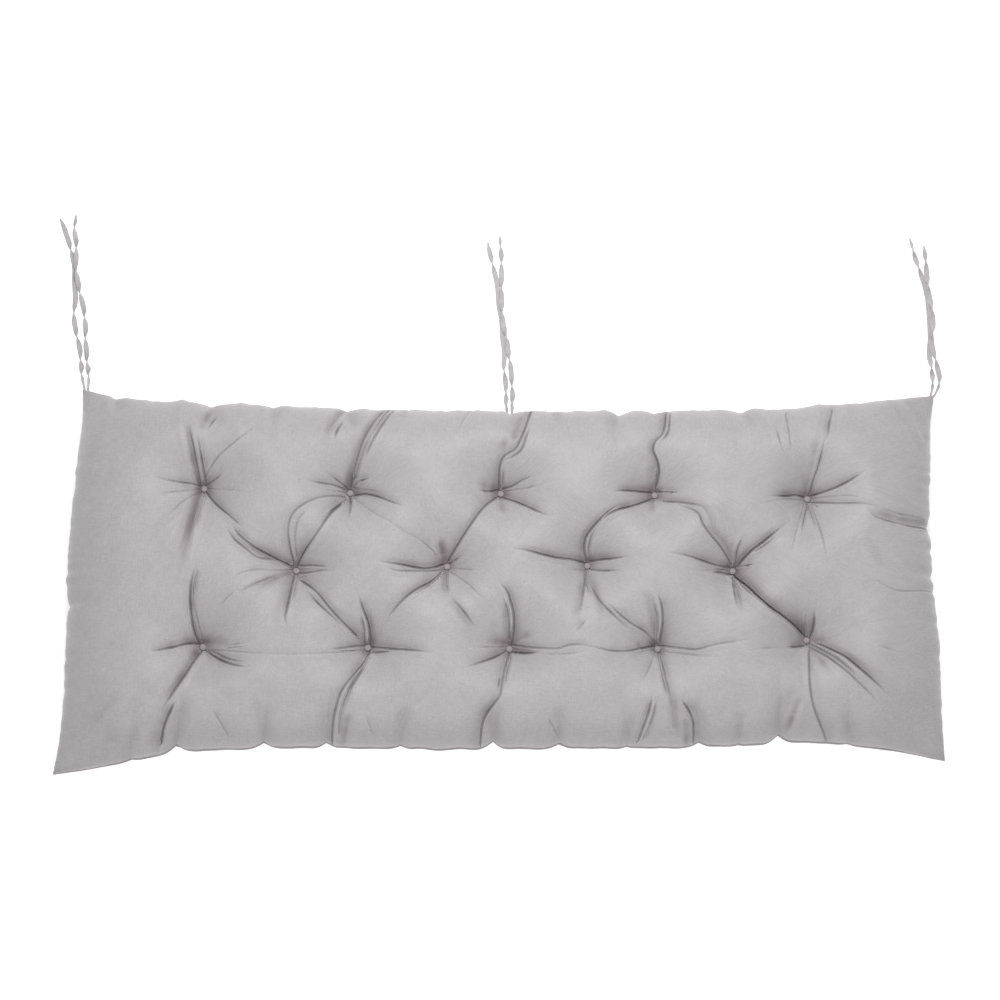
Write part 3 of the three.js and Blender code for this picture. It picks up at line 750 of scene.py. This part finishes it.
def plan(s, t):
    """Places in plan at the distances s from the left end and t from the front edge."""
    u, v = (s / length)[:, None], (t / depth)[:, None]
    between = front(u[:, 0]) * (1 - v) + back(u[:, 0]) * v
    between += left(v[:, 0]) * (1 - u) + right(v[:, 0]) * u
    corners = [np.array(tip) * MM for tip in (FRONT_LEFT, FRONT_RIGHT, BACK_LEFT, BACK_RIGHT)]
    near = corners[0] * (1 - u) + corners[1] * u
    far = corners[2] * (1 - u) + corners[3] * u
    return between - near * (1 - v) - far * v


def roll(distance, reach):
    """Share of its full height that a panel has reached, rolling over from an edge."""
    rest = 1 - np.clip(distance / reach, 0, 1)
    return np.sqrt(1 - rest * rest)


def from_tufts(xy):
    """Distances of places in plan from each tuft in turn."""
    return [np.hypot(*(xy - tuft).T) for tuft in tufts.values()]


def inside(s, t):
    """Distances from the nearer end, from the nearer long edge and from the nearest tip."""
    from_end, from_edge = np.minimum(s, length - s), np.minimum(t, depth - t)
    return from_end, from_edge, np.hypot(from_end, from_edge)


def seam_and_lip(to_tip, t):
    """Height of the seam, which hangs a little lower in front, and the lip of cloth each way."""
    risen = smoothstep(to_tip, 0, tip_reach)
    sagged = seam_at_middle - front_sag * (1 - smoothstep(t, 0, front_sag_reach))
    seam = seam_at_tip + (sagged - seam_at_tip) * risen
    return seam, lip_at_tip + (lip_at_middle - lip_at_tip) * risen


def upper_height(s, t, xy, folded=0):
    """Height of the upper panel, with the tufts and any folds pulled out of its crown."""
    from_end, from_edge, to_tip = inside(s, t)
    seam, lip = seam_and_lip(to_tip, t)
    start = seam + lip
    ear = 1 - ear_flatten * bell(to_tip, ear_reach)
    full = roll(from_end, upper_roll) * roll(from_edge, upper_roll) * ear
    kept = np.ones(len(s))
    for away in from_tufts(xy):
        kept *= roll(np.maximum(away - tuft_flat, 0), tuft_reach) ** tuft_power
    pulled = np.cbrt(((crown - tuft_floor) * (1 - kept)) ** 3 + folded**3)
    return start + (crown - start - pulled) * full, full


def under_height(s, t, xy):
    """Height of the under panel, flat on the floor but for a dimple under each tuft."""
    from_end, from_edge, to_tip = inside(s, t)
    seam, lip = seam_and_lip(to_tip, t)
    flat = roll(from_end, under_roll) * roll(from_edge, under_roll)
    dimple = np.zeros(len(s))
    for away in from_tufts(xy):
        near = 1 - np.minimum(away / dimple_reach, 1)
        dimple = np.maximum(dimple, under_dimple * near * near)
    return (seam - lower_lip_share * lip) * (1 - flat) + dimple


# How far the grid of a panel is bunched towards its rim
bunch_share = 0.6
bunch_reach = 25 * MM


def bunched(d, whole):
    """Even grid distances moved towards both ends, where the panel rolls over to the seam."""
    near = np.minimum(d, whole - d)
    moved = near - bunch_share * near * np.exp(-near / bunch_reach)
    return np.where(d * 2 <= whole, moved, whole - moved)


# Coarse map of the bare form, used to lay the creases on its surface and to settle the pads
settle_cells = (216, 96)
settle_cap = 10 * MM
settle_smoothings = 10
settle_s, settle_t = (
    part.ravel()
    for part in np.meshgrid(
        bunched(np.linspace(0, length, settle_cells[0] + 1), length),
        bunched(np.linspace(0, depth, settle_cells[1] + 1), depth),
    )
)
settle_xy = plan(settle_s, settle_t)
bare_height, _ = upper_height(settle_s, settle_t, settle_xy)
settle_from_rim = np.minimum(*inside(settle_s, settle_t)[:2])

picture_size = 1000
picture_focus = camera_data.lens / camera_data.sensor_width * picture_size
sight_rounds = 5


def nearest_on_map(place):
    """The point of the coarse map nearest to a place in plan."""
    return np.argmin(np.hypot(*(settle_xy - place).T))


def laid_on_surface(points):
    """Places in the picture, followed along the line of sight to the bare form below them."""
    eye = np.array(camera.location)
    across, down = (np.array(points, float) - picture_size / 2).T / picture_focus
    upright, level = math.cos(camera_tilt), math.sin(camera_tilt)
    sight = np.column_stack([across, level - down * upright, -upright - down * level])
    height = np.full(len(sight), tuft_floor)
    for _ in range(sight_rounds):
        seen = eye[:2] + sight[:, :2] * ((height - eye[2]) / sight[:, 2])[:, None]
        height = bare_height[[nearest_on_map(place) for place in seen]]
    return seen


end_reach = 24 * MM
crease_steps = 24
tuft_room = 11 * MM
layers = 3
crease_lines = []


def is_held(place):
    """Whether a crease that ends here is held by a tuft or by the seam, and so doesn't fade out."""
    return min(*from_tufts(place), settle_from_rim[nearest_on_map(place)]) < end_reach


def roomiest_layer(line):
    """The layer whose crisp lines lie furthest from this one, away from the tufts."""
    apart = []
    for layer in range(layers):
        others = [other for kind, other, *_, own in crease_lines if own == layer and kinds[kind]["line"]]
        if not others:
            return layer
        there = np.vstack(others)
        clear = np.min(from_tufts(there), axis=0) > tuft_room
        gaps = np.hypot(*(line[:, None] - there[clear][None]).transpose(2, 0, 1))
        apart.append(gaps.min())
    return int(np.argmax(apart))


def add_crease(kind, points):
    """Notes down a crease: its kind and line, which of its ends are held, and its layer."""
    line, _ = evenly(smooth_line(points), crease_steps)
    layer = roomiest_layer(line) if kinds[kind]["line"] else 0
    crease_lines.append((kind, line, is_held(line[0]), is_held(line[-1]), layer))


for rows in CREASES.values():
    for kind, *points in rows:
        add_crease(kind, laid_on_surface(points))

# Each gather of the seam sends a short leaning pleat into the panel
pleat_reach = 26 * MM
pleat_growth = 3.2
pleat_leans = (0.35, -0.25, 0.1)
for edge, inward, gathers, start in (
    (front, 1, FRONT_GATHERS, FRONT_LEFT[0]), (back, -1, BACK_GATHERS, BACK_LEFT[0]),
):
    for number, (place, deep, _) in enumerate(gathers):
        if deep <= 0:
            continue
        rim = edge(np.array([(place - start) * MM / length]))[0]
        into = np.array((pleat_leans[number % 3], inward))
        reach = pleat_reach + pleat_growth * deep * MM
        add_crease("pleat", [rim, rim + into * reach * 0.5, rim + into * reach])

# How a crease comes and goes along its length
fade_in = (-0.05, 0.35)
fade_out = (0.45, 1.05)
middle_slack = 0.35
unevenness = 0.5
uneven_waves = 5
uneven_steps = 33

# How it lies across: places and widths in half widths of its ridge or trough, heights as shares
seen_from = 2.4
crease_round = 0.9 * MM
side_valley = 0.3
side_valley_place = 2.6
ridge_place = 1.4
ridge_pinch = 0.7
far_ridge = 0.6
far_ridge_place = 1.8
lip_shade_width = 0.3
lee_shade_width = 1.3
least_shade_width = 2.4 * MM

# Crisp lines: how near they count, and how they fade beside a rival in the same layer
no_line = 20.0
line_claim = 3 * MM
line_fade = (3.6 * MM, 6.5 * MM)
rival_fade = (0.3, 0.8)


def nearest_on(line, here):
    """Of places in plan: the distance from a line, the share of its length there and the side."""
    best = np.full(len(here), 1e3)
    share, aside = np.zeros((2, len(here)))
    for i, step in enumerate(np.diff(line, axis=0)):
        along = np.clip((here - line[i]) @ step / (step @ step), 0, 1)
        off = here - line[i] - along[:, None] * step
        away = np.hypot(*off.T)
        nearer = away < best
        best = np.where(nearer, away, best)
        share = np.where(nearer, (i + along) / (len(line) - 1), share)
        aside = np.where(nearer, step[0] * off[:, 1] - step[1] * off[:, 0], aside)
    return best, share, aside


def strength_along(share, number, kind, starts_held, ends_held):
    """How strong a crease is at shares of its length: it fades at a free end and is uneven."""
    strength = np.ones(len(share))
    if not starts_held:
        strength *= smoothstep(share, *fade_in)
    if not ends_held:
        strength *= 1 - smoothstep(share, *fade_out)
    if starts_held and ends_held and kind != "gash":
        strength *= 1 - middle_slack * np.sin(math.pi * share) ** 2
    steps = np.linspace(0, 1, uneven_steps)
    uneven = [noise.noise(Vector((uneven_waves * place, number, 0.5))) for place in steps]
    return strength * (1 + unevenness * np.interp(share, steps, uneven))


def crease_relief(xy):
    """Troughs, valleys, ridges, ribs and shade at places in plan, and by layer each crisp line's
    offset and share."""
    offsets = np.full((layers, len(xy)), no_line)
    crispness, chosen, second = np.zeros((3, layers, len(xy)))
    troughs, valleys, ridges, ribs, shades = np.zeros((5, len(xy)))
    for number, (kind, line, starts_held, ends_held, layer) in enumerate(crease_lines):
        form = {part: size * MM for part, size in kinds[kind].items()}
        broad, wide = form["trough_width"], form["ridge_width"]
        low, high = line.min(axis=0) - seen_from * broad, line.max(axis=0) + seen_from * broad
        near = np.flatnonzero(np.all((xy > low) & (xy < high), axis=1))
        best, share, aside = nearest_on(line, xy[near])
        strength = strength_along(share, number, kind, starts_held, ends_held)
        lip_side = -1 if line[-1, 0] > line[0, 0] else 1
        away = best * np.where(aside > 0, lip_side, -lip_side)
        troughs[near] += (strength * form["trough"] * bell(away, broad)) ** 3
        valley = np.exp(-(np.hypot(away, crease_round) - crease_round) / form["valley_width"])
        valley += side_valley * bell(away - side_valley_place * wide, form["valley_width"])
        ridge = bell(away - ridge_place * wide, ridge_pinch * wide)
        ridge += far_ridge * bell(away + far_ridge_place * wide, wide)
        lip_shade = max(lip_shade_width * broad, least_shade_width)
        shade = bell(away, np.where(away > 0, lip_shade, lee_shade_width * broad))
        # The shade each kind holds is painted into the cloth's colour
        for total, size, across in (
            (valleys, form["valley"], valley), (ridges, form["ridge"], ridge),
            (ribs, form["rib"], bell(away, rib_width)), (shades, kinds[kind]["painted_shade"], shade),
        ):
            total[near] = np.maximum(total[near], strength * size * across)
        if not kinds[kind]["line"]:
            continue
        crisp = strength * kinds[kind]["line"]
        claim = abs(crisp) * bell(away, line_claim) + 1e-9
        wins = claim > chosen[layer, near]
        runner_up = np.where(wins, chosen[layer, near], np.maximum(second[layer, near], claim))
        second[layer, near] = runner_up
        mine = near[wins]
        chosen[layer, mine] = claim[wins]
        offsets[layer, mine] = away[wins] / MM
        crispness[layer, mine] = (crisp * (1 - smoothstep(best, *line_fade)))[wins]
    crispness *= 1 - smoothstep(second / np.maximum(chosen, 1e-9), *rival_fade)
    return np.cbrt(troughs), valleys, ridges, ribs, shades, offsets, crispness


# Settling: how freely the cloth moves with the distance from the rim, a tuft and a valley
rim_hold = 0.9
rim_hold_reach = (15 * MM, 130 * MM)
tuft_hold_reach = 14 * MM
full_hold_valley = 5 * MM
settle_frames = 20


def pads_settled():
    """Cloth pass over the coarse form: the cover swells between tufts, folds and seam."""
    grid_shape = (settle_cells[1] + 1, settle_cells[0] + 1, 3)
    troughs, valleys, *_ = crease_relief(settle_xy)
    height, _ = upper_height(settle_s, settle_t, settle_xy, troughs)
    start = np.column_stack([settle_xy, height])
    bm = bmesh.new()
    bmesh.ops.create_grid(bm, x_segments=settle_cells[0], y_segments=settle_cells[1], size=0.5)
    bm.verts.ensure_lookup_table()
    mesh = bpy.data.meshes.new("settling")
    bm.to_mesh(mesh)
    bm.free()
    mesh.vertices.foreach_set("co", start.ravel())
    mesh.update()
    cover = bpy.data.objects.new("settling", mesh)
    scene.collection.objects.link(cover)
    held = cover.vertex_groups.new(name="held")
    tight = 1 - rim_hold * smoothstep(settle_from_rim, *rim_hold_reach)
    for away in from_tufts(settle_xy):
        tight = np.maximum(tight, bell(away, tuft_hold_reach))
    tight = np.clip(np.maximum(tight, valleys / full_hold_valley), 0, 1)
    for index, share in enumerate(tight):
        held.add([index], float(share), "REPLACE")
    cloth = cover.modifiers.new("settle", "CLOTH")
    cloth.settings.quality = 5
    cloth.settings.mass = 0.3
    cloth.settings.tension_stiffness = cloth.settings.compression_stiffness = 18
    cloth.settings.shear_stiffness = 8
    cloth.settings.bending_stiffness = 8
    cloth.settings.vertex_group_mass = "held"
    cloth.settings.use_pressure = True
    cloth.settings.uniform_pressure_force = 4
    cloth.settings.effector_weights.gravity = 0
    for frame_number in range(settle_frames):
        scene.frame_set(frame_number + 1)
    evaluated = cover.evaluated_get(bpy.context.evaluated_depsgraph_get())
    settled = np.empty(len(start) * 3)
    evaluated.data.vertices.foreach_get("co", settled)
    bpy.data.objects.remove(cover)
    scene.frame_set(1)
    moved = settled.reshape(-1, 3) - start
    far = np.linalg.norm(moved, axis=1)[:, None]
    moved = (moved * settle_cap / (settle_cap + far)).reshape(grid_shape)
    for _ in range(settle_smoothings):
        for axis in (0, 1):
            inner = [slice(None)] * 2
            inner[axis] = slice(1, -1)
            moved[tuple(inner)] += np.diff(moved, 2, axis=axis) / 4
    return moved


settled = pads_settled()


def settled_at(s_even, t_even):
    """The settled movement at even grid distances, between the coarse form's points."""
    column = np.clip(s_even / length * settle_cells[0], 0, settle_cells[0] - 1e-6)
    row = np.clip(t_even / depth * settle_cells[1], 0, settle_cells[1] - 1e-6)
    i, j = column.astype(int), row.astype(int)
    a, b = (column - i)[:, None], (row - j)[:, None]
    near = settled[j, i] * (1 - a) + settled[j, i + 1] * a
    far = settled[j + 1, i] * (1 - a) + settled[j + 1, i + 1] * a
    return near * (1 - b) + far * b


# Puckers round the buttons, sizes in millimetres and widths in radians
pucker_flat = 5 * MM
pucker_reach = 22 * MM
puckers_each = 12
pucker_spread = 0.35
pucker_sizes = (0.6, 2.8)
pucker_widths = (0.1, 0.2)
draw = np.random.default_rng(14)


def tuft_puckers(xy):
    """Small pleats that run out from each button."""
    relief = np.zeros(len(xy))
    for tuft in tufts.values():
        off = xy - tuft
        away = np.hypot(*off.T)
        angle = np.arctan2(off[:, 1], off[:, 0])
        strayed = draw.uniform(-pucker_spread, pucker_spread, puckers_each)
        turns = (np.arange(puckers_each) + strayed) / puckers_each
        sizes = draw.uniform(*pucker_sizes, puckers_each) * MM
        widths = draw.uniform(*pucker_widths, puckers_each)
        lasting = smoothstep(away, pucker_flat, 2 * pucker_flat) * np.exp(-away / pucker_reach)
        for turn, size, width in zip(turns, sizes, widths):
            apart = np.angle(np.exp(1j * (angle - turn * 2 * math.pi)))
            relief -= size * lasting * bell(apart, width)
    return relief


def wavering(xy, wave, size, seed):
    """Smooth unevenness of one wavelength, as a stuffed pad has."""
    return size * np.array([noise.noise(Vector((x / wave, y / wave, seed))) for x, y in xy])


# Small pleats that the seam gathers: how far apart, how deep and how far they run in
SEAM_PLEATS = [(8, 2.2, 7), (17, 3.8, 13), (40, 4.5, 24)]
end_pleats = 0.35
pleat_samples = 8


def seam_pleats(s, t):
    """Relief of the small pleats along all four sides, weaker at the ends."""
    relief = np.zeros(len(s))
    sides = ((t, s, 1, 1), (depth - t, s, 2, 1), (s, t, 3, end_pleats), (length - s, t, 4, end_pleats))
    for aside, run, seed, share in sides:
        for apart, deep, reach in SEAM_PLEATS:
            places = np.arange(0, length + apart * MM, apart * MM / pleat_samples)
            wave = [noise.noise(Vector((place / (apart * MM), seed, apart))) for place in places]
            relief += share * np.interp(run, places, wave) * deep * MM * np.exp(-aside / (reach * MM))
    return relief


# Mesh of the cover: two grids, joined round the seam
upper_cells = (448, 192)
under_coarser = 4
UPPER, SEAM, UNDER = 1, 0, -1


def flat_panel(bm, cells, level):
    """A grid of the cushion's even distances, at a level that says which panel; gives its rim."""
    place = Matrix.Translation((length / 2, depth / 2, level)) @ Matrix.Diagonal((length, depth, 1, 1))
    made = bmesh.ops.create_grid(bm, x_segments=cells[0], y_segments=cells[1], size=0.5, matrix=place)
    rim = [edge for vert in made["verts"] for edge in vert.link_edges if len(edge.link_faces) == 1]
    return list(dict.fromkeys(rim))


def joined_panels():
    """Both panels and the ring of the seam between them, as one closed mesh."""
    bm = bmesh.new()
    upper_rim = flat_panel(bm, upper_cells, UPPER)
    ring = bmesh.ops.extrude_edge_only(bm, edges=upper_rim)["geom"]
    for vert in ring:
        if isinstance(vert, bmesh.types.BMVert):
            vert.co.z = SEAM
    seam = [
        edge for edge in ring
        if isinstance(edge, bmesh.types.BMEdge) and all(v.co.z == SEAM for v in edge.verts)
    ]
    cells = [count // under_coarser for count in upper_cells]
    under_rim = flat_panel(bm, cells, UNDER)
    split = bmesh.ops.subdivide_edges(bm, edges=under_rim, cuts=under_coarser - 1)["geom_inner"]
    added = {v for v in split if isinstance(v, bmesh.types.BMVert)}
    rim_verts = added | {v for edge in under_rim if edge.is_valid for v in edge.verts}
    under_loop = [
        edge for edge in bm.edges
        if len(edge.link_faces) == 1 and all(v in rim_verts for v in edge.verts)
    ]
    bmesh.ops.bridge_loops(bm, edges=seam + under_loop)
    bmesh.ops.recalc_face_normals(bm, faces=bm.faces)
    return bm


cover_cloth = cloth_material(
    "cover_cloth", (0.335, 0.318, 0.323), (0.14, 0.113, 0.122), 0.1 * MM, 0.5, 0.3
)
# Crisp crease lines in the cover's colour: a painted shade colour in the pinched line, and a painted
# highlight on its lip and on raised ribs
crease_shade_colour = (0.075, 0.045, 0.055, 1)
line_half_width = 0.85
line_lip_offset = 2.7
line_lip_width = 1.5
line_lip_height = 0.6
crease_shade_strength = 0.5
lip_highlight_tone = 0.15
rib_highlight_tone = -0.2
line_depth = 2.2 * MM


def add_fold_lines(tree):
    """Painted shade in the folds, and along each crease a crisp pinched line, sunk and painted dark where
    its share is above 0 and raised and painted lighter where it is below, with a raised lip beside it
    that carries a painted highlight."""
    plus, minus, times = arithmetic(tree)
    told = {}
    for name in ("fold_shade", "line_offset", "line_share"):
        told[name] = tree.nodes.new("ShaderNodeAttribute")
        told[name].attribute_name = name
    layered = []
    for name in ("line_offset", "line_share"):
        apart = tree.nodes.new("ShaderNodeSeparateXYZ")
        tree.links.new(told[name].outputs["Vector"], apart.inputs[0])
        layered.append(apart.outputs)

    def bell_node(offset, width):
        square = reckon(tree, "POWER", reckon(tree, "DIVIDE", offset, width), 2)
        return reckon(tree, "EXPONENT", times(square, -1))

    line, lip = 0, 0
    for offset, share in zip(*layered):
        own = times(bell_node(offset, line_half_width), share)
        line = plus(line, own)
        beside = bell_node(minus(offset, line_lip_offset), line_lip_width)
        lip = plus(lip, times(beside, share))
    height = minus(times(lip, line_lip_height), line)

    shaded = tree.nodes["lit and shaded"]
    tree.links.new(told["fold_shade"].outputs["Fac"], shaded.inputs["Factor"])
    lined = tree.nodes.new("ShaderNodeMix")
    lined.data_type = "RGBA"
    lined.inputs["B"].default_value = crease_shade_colour
    for link in list(shaded.outputs["Result"].links):
        tree.links.new(lined.outputs["Result"], link.to_socket)
    tree.links.new(shaded.outputs["Result"], lined.inputs["A"])
    tree.links.new(times(line, crease_shade_strength), lined.inputs["Factor"])
    raised = times(reckon(tree, "MINIMUM", line, 0), rib_highlight_tone)
    painted_highlights = plus(times(lip, lip_highlight_tone), raised)
    tree.links.new(plus(painted_highlights, 1), tree.nodes["lighter"].inputs[1])
    pinched = tree.nodes.new("ShaderNodeBump")
    pinched.inputs["Distance"].default_value = line_depth
    tree.links.new(height, pinched.inputs["Height"])
    tree.links.new(pinched.outputs["Normal"], tree.nodes["thread relief"].inputs["Normal"])


# Shade painted into the cloth's colour: strength and reach close round a button, wide behind it, at
# the seam's edge and under it
close_shade = (0.5, 9 * MM)
wide_shade = (0.34, 24 * MM)
rim_shade = (0.3, 3 * MM)
under_shade = (0.5, 12 * MM)
seam_shade = 0.8
rib_paling = 0.7


def tuft_shade(xy):
    """Mauve shade that gathers close round each button, and wider on its far side."""
    shade = np.zeros(len(xy))
    for tuft in tufts.values():
        off = xy - tuft
        away = np.hypot(*off.T)
        behind = 0.5 + 0.5 * off[:, 1] / np.maximum(away, 1e-6)
        shade += close_shade[0] * bell(away, close_shade[1])
        shade += wide_shade[0] * behind * bell(away, wide_shade[1])
    return shade


add_fold_lines(cover_cloth.node_tree)
cover = piece_from(joined_panels(), "cushion_cover", cover_cloth)
flat = np.empty(len(cover.data.vertices) * 3)
cover.data.vertices.foreach_get("co", flat)
s_even, t_even, level = flat.reshape(-1, 3).T
s, t = bunched(s_even, length), bunched(t_even, depth)
shape = np.zeros((len(s), 3))
fold_shade = np.zeros(len(s))
line_offset = np.full((layers, len(s)), no_line)
line_share = np.zeros((layers, len(s)))

# Upper panel, with unevenness of the stuffing in two sizes: wave, height and seed
SWELLS = [(70, 2.8, 1), (27, 0.6, 2)]
soft_rim_reach = 14 * MM
top = level > 0.5
top_xy = plan(s[top], t[top])
troughs, valleys, ridges, ribs, shades, line_offset[:, top], line_share[:, top] = crease_relief(top_xy)
height, full = upper_height(s[top], t[top], top_xy, troughs)
from_rim = np.minimum(*inside(s[top], t[top])[:2])
soft_rim = smoothstep(from_rim, 0, soft_rim_reach)
height += (ridges + ribs - valleys) * soft_rim
height += tuft_puckers(top_xy)
height += sum(wavering(top_xy, wave * MM, high * MM, seed) for wave, high, seed in SWELLS) * full
height += seam_pleats(s[top], t[top])
shape[top] = np.column_stack([top_xy, height]) + settled_at(s_even[top], t_even[top])
for away in from_tufts(top_xy):
    seated = np.flatnonzero(top)[away < 2 * tuft_flat]
    down = 1 - smoothstep(away[away < 2 * tuft_flat], tuft_flat, 2 * tuft_flat)
    shape[seated, 2] += (tuft_floor - shape[seated, 2]) * down
# Painted shade round the buttons and in the folds, paler on the ribs, and darker at the rim
fold_shade[top] = tuft_shade(top_xy) + shades
fold_shade[top] *= 1 - rib_paling * ribs / ribs.max()
fold_shade[top] += rim_shade[0] * np.exp(-from_rim / rim_shade[1])

# Seam, drawn into a groove between the panels
ring = np.abs(level) <= 0.5
drawn = groove * smoothstep(inside(s[ring], t[ring])[2], 0, groove_reach)
shape[ring, :2] = plan(
    np.clip(s[ring], drawn, length - drawn), np.clip(t[ring], drawn, depth - drawn)
)
shape[ring, 2] = seam_and_lip(inside(s[ring], t[ring])[2], t[ring])[0]
# Painted shade along the seam
fold_shade[ring] = seam_shade

# Under panel
low = level < -0.5
shape[low, :2] = plan(s[low], t[low])
for axis, along, whole in ((0, s[low], length), (1, t[low], depth)):
    near, far = np.exp(-along / under_swell_reach), np.exp(-(whole - along) / under_swell_reach)
    shape[low, axis] += under_swell * (far - near)
shape[low, 2] = under_height(s[low], t[low], shape[low, :2])
low_rim = np.minimum(*inside(s[low], t[low])[:2])
# Painted shade on the under panel near its rim
fold_shade[low] = under_shade[0] * np.exp(-low_rim / under_shade[1])

cover.data.vertices.foreach_set("co", shape.ravel())
told = cover.data.attributes.new("fold_shade", "FLOAT", "POINT")
told.data.foreach_set("value", np.clip(fold_shade, 0, 1))
for name, values in (("line_offset", line_offset), ("line_share", line_share)):
    told = cover.data.attributes.new(name, "FLOAT_VECTOR", "POINT")
    told.data.foreach_set("vector", values.T.ravel())

# The cloth's own lengths along both directions, so that the weave isn't stretched on the sides
cloth_lengths = np.column_stack([s, t])
top_index = np.flatnonzero(top)
order = np.lexsort((s[top], t[top].round(6)))
rows = top_index[order].reshape(upper_cells[1] + 1, upper_cells[0] + 1)
grid = shape[rows]
along = np.linalg.norm(np.diff(grid, axis=1), axis=2).cumsum(axis=1)
deep = np.linalg.norm(np.diff(grid, axis=0), axis=2).cumsum(axis=0)
cloth_lengths[rows[:, 1:], 0] = along
cloth_lengths[rows[:, 0], 0] = 0
cloth_lengths[rows[1:], 1] = deep
cloth_lengths[rows[0], 1] = 0
corners = np.empty(len(cover.data.loops), dtype=np.int32)
cover.data.loops.foreach_get("vertex_index", corners)
cover.data.uv_layers.new(name="cloth").data.foreach_set("uv", cloth_lengths[corners].ravel())
cover.data.update()
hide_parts("cushion")

# Buttons
# A small domed button on each tuft, covered in a paler pinkish cut of the cloth and held
# down by the twine that pulls the tuft.
button_radius = 4 * MM
button_rise = 3 * MM
button_bottom = tuft_floor + 0.3 * MM
BUTTON_PROFILE = [(0, 0), (0.88, 0), (1, 0.14), (1, 0.4), (0.9, 0.62), (0.55, 0.74), (0, 0.78)]
button_cloth = cloth_material(
    "button_cloth", (0.25, 0.213, 0.225), (0.2, 0.15, 0.16), 0.1 * MM, 0.6, 0.25
)


def make_button(name, place):
    """One domed button, spun from its profile."""
    bm = bmesh.new()
    profile = [bm.verts.new((r * button_radius, 0, z * button_rise)) for r, z in BUTTON_PROFILE]
    edges = [bm.edges.new(pair) for pair in zip(profile, profile[1:])]
    bmesh.ops.spin(
        bm, geom=profile + edges, cent=(0, 0, 0), axis=(0, 0, 1), dvec=(0, 0, 0),
        angle=2 * math.pi, steps=28, use_merge=True,
    )
    bmesh.ops.remove_doubles(bm, verts=bm.verts, dist=0.05 * MM)
    bmesh.ops.recalc_face_normals(bm, faces=bm.faces)
    bmesh.ops.translate(bm, verts=bm.verts, vec=(*place, button_bottom))
    cloth = bm.loops.layers.uv.new("cloth")
    for face in bm.faces:
        for corner in face.loops:
            corner[cloth].uv = corner.vert.co.xy
    button = piece_from(bm, "covered_" + name, button_cloth)
    rounded = button.modifiers.new("rounded", "SUBSURF")
    rounded.levels = rounded.render_levels = 1
    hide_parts(name)


for tuft_name, tuft in tufts.items():
    make_button("button_" + tuft_name, tuft)

# Floor and light
# A plain near-white floor, an even bright room, a lamp beyond the back edge and a wider, softer
# one in front.
floor_material = bpy.data.materials.new("pale_floor")
floor_material.use_nodes = True
floor_surface = floor_material.node_tree.nodes["Principled BSDF"]
floor_surface.inputs["Base Color"].default_value = (0.93, 0.93, 0.93, 1)
floor_surface.inputs["Roughness"].default_value = 0.9
floor_surface.inputs["Specular IOR Level"].default_value = 0.1
floor_surface.inputs["Emission Color"].default_value = (1, 1, 1, 1)
floor_surface.inputs["Emission Strength"].default_value = 0.4
floor_bm = bmesh.new()
bmesh.ops.create_grid(floor_bm, x_segments=2, y_segments=2, size=4)
floor_mesh = bpy.data.meshes.new("floor")
floor_bm.to_mesh(floor_mesh)
floor_bm.free()
floor_mesh.materials.append(floor_material)
floor = bpy.data.objects.new("floor", floor_mesh)
scene.collection.objects.link(floor)


def make_lamp(name, place, size, power):
    data = bpy.data.lights.new(name, "AREA")
    data.shape = "DISK"
    data.size = size
    data.energy = power
    lamp = bpy.data.objects.new(name, data)
    lamp.location = place
    lamp.rotation_euler = (-Vector(place)).to_track_quat("-Z", "Y").to_euler()
    scene.collection.objects.link(lamp)


make_lamp("back lamp", (0.08, 0.85, 1.5), 0.8, 21)
make_lamp("front lamp", (-0.1, -1.3, 1.8), 1.3, 19)
room = bpy.data.worlds.new("bright room")
room.use_nodes = True
room.node_tree.nodes["Background"].inputs["Color"].default_value = (1, 1, 1, 1)
room.node_tree.nodes["Background"].inputs["Strength"].default_value = 0.53
scene.world = room
scene.view_settings.view_transform = "Standard"

bpy.context.view_layer.update()
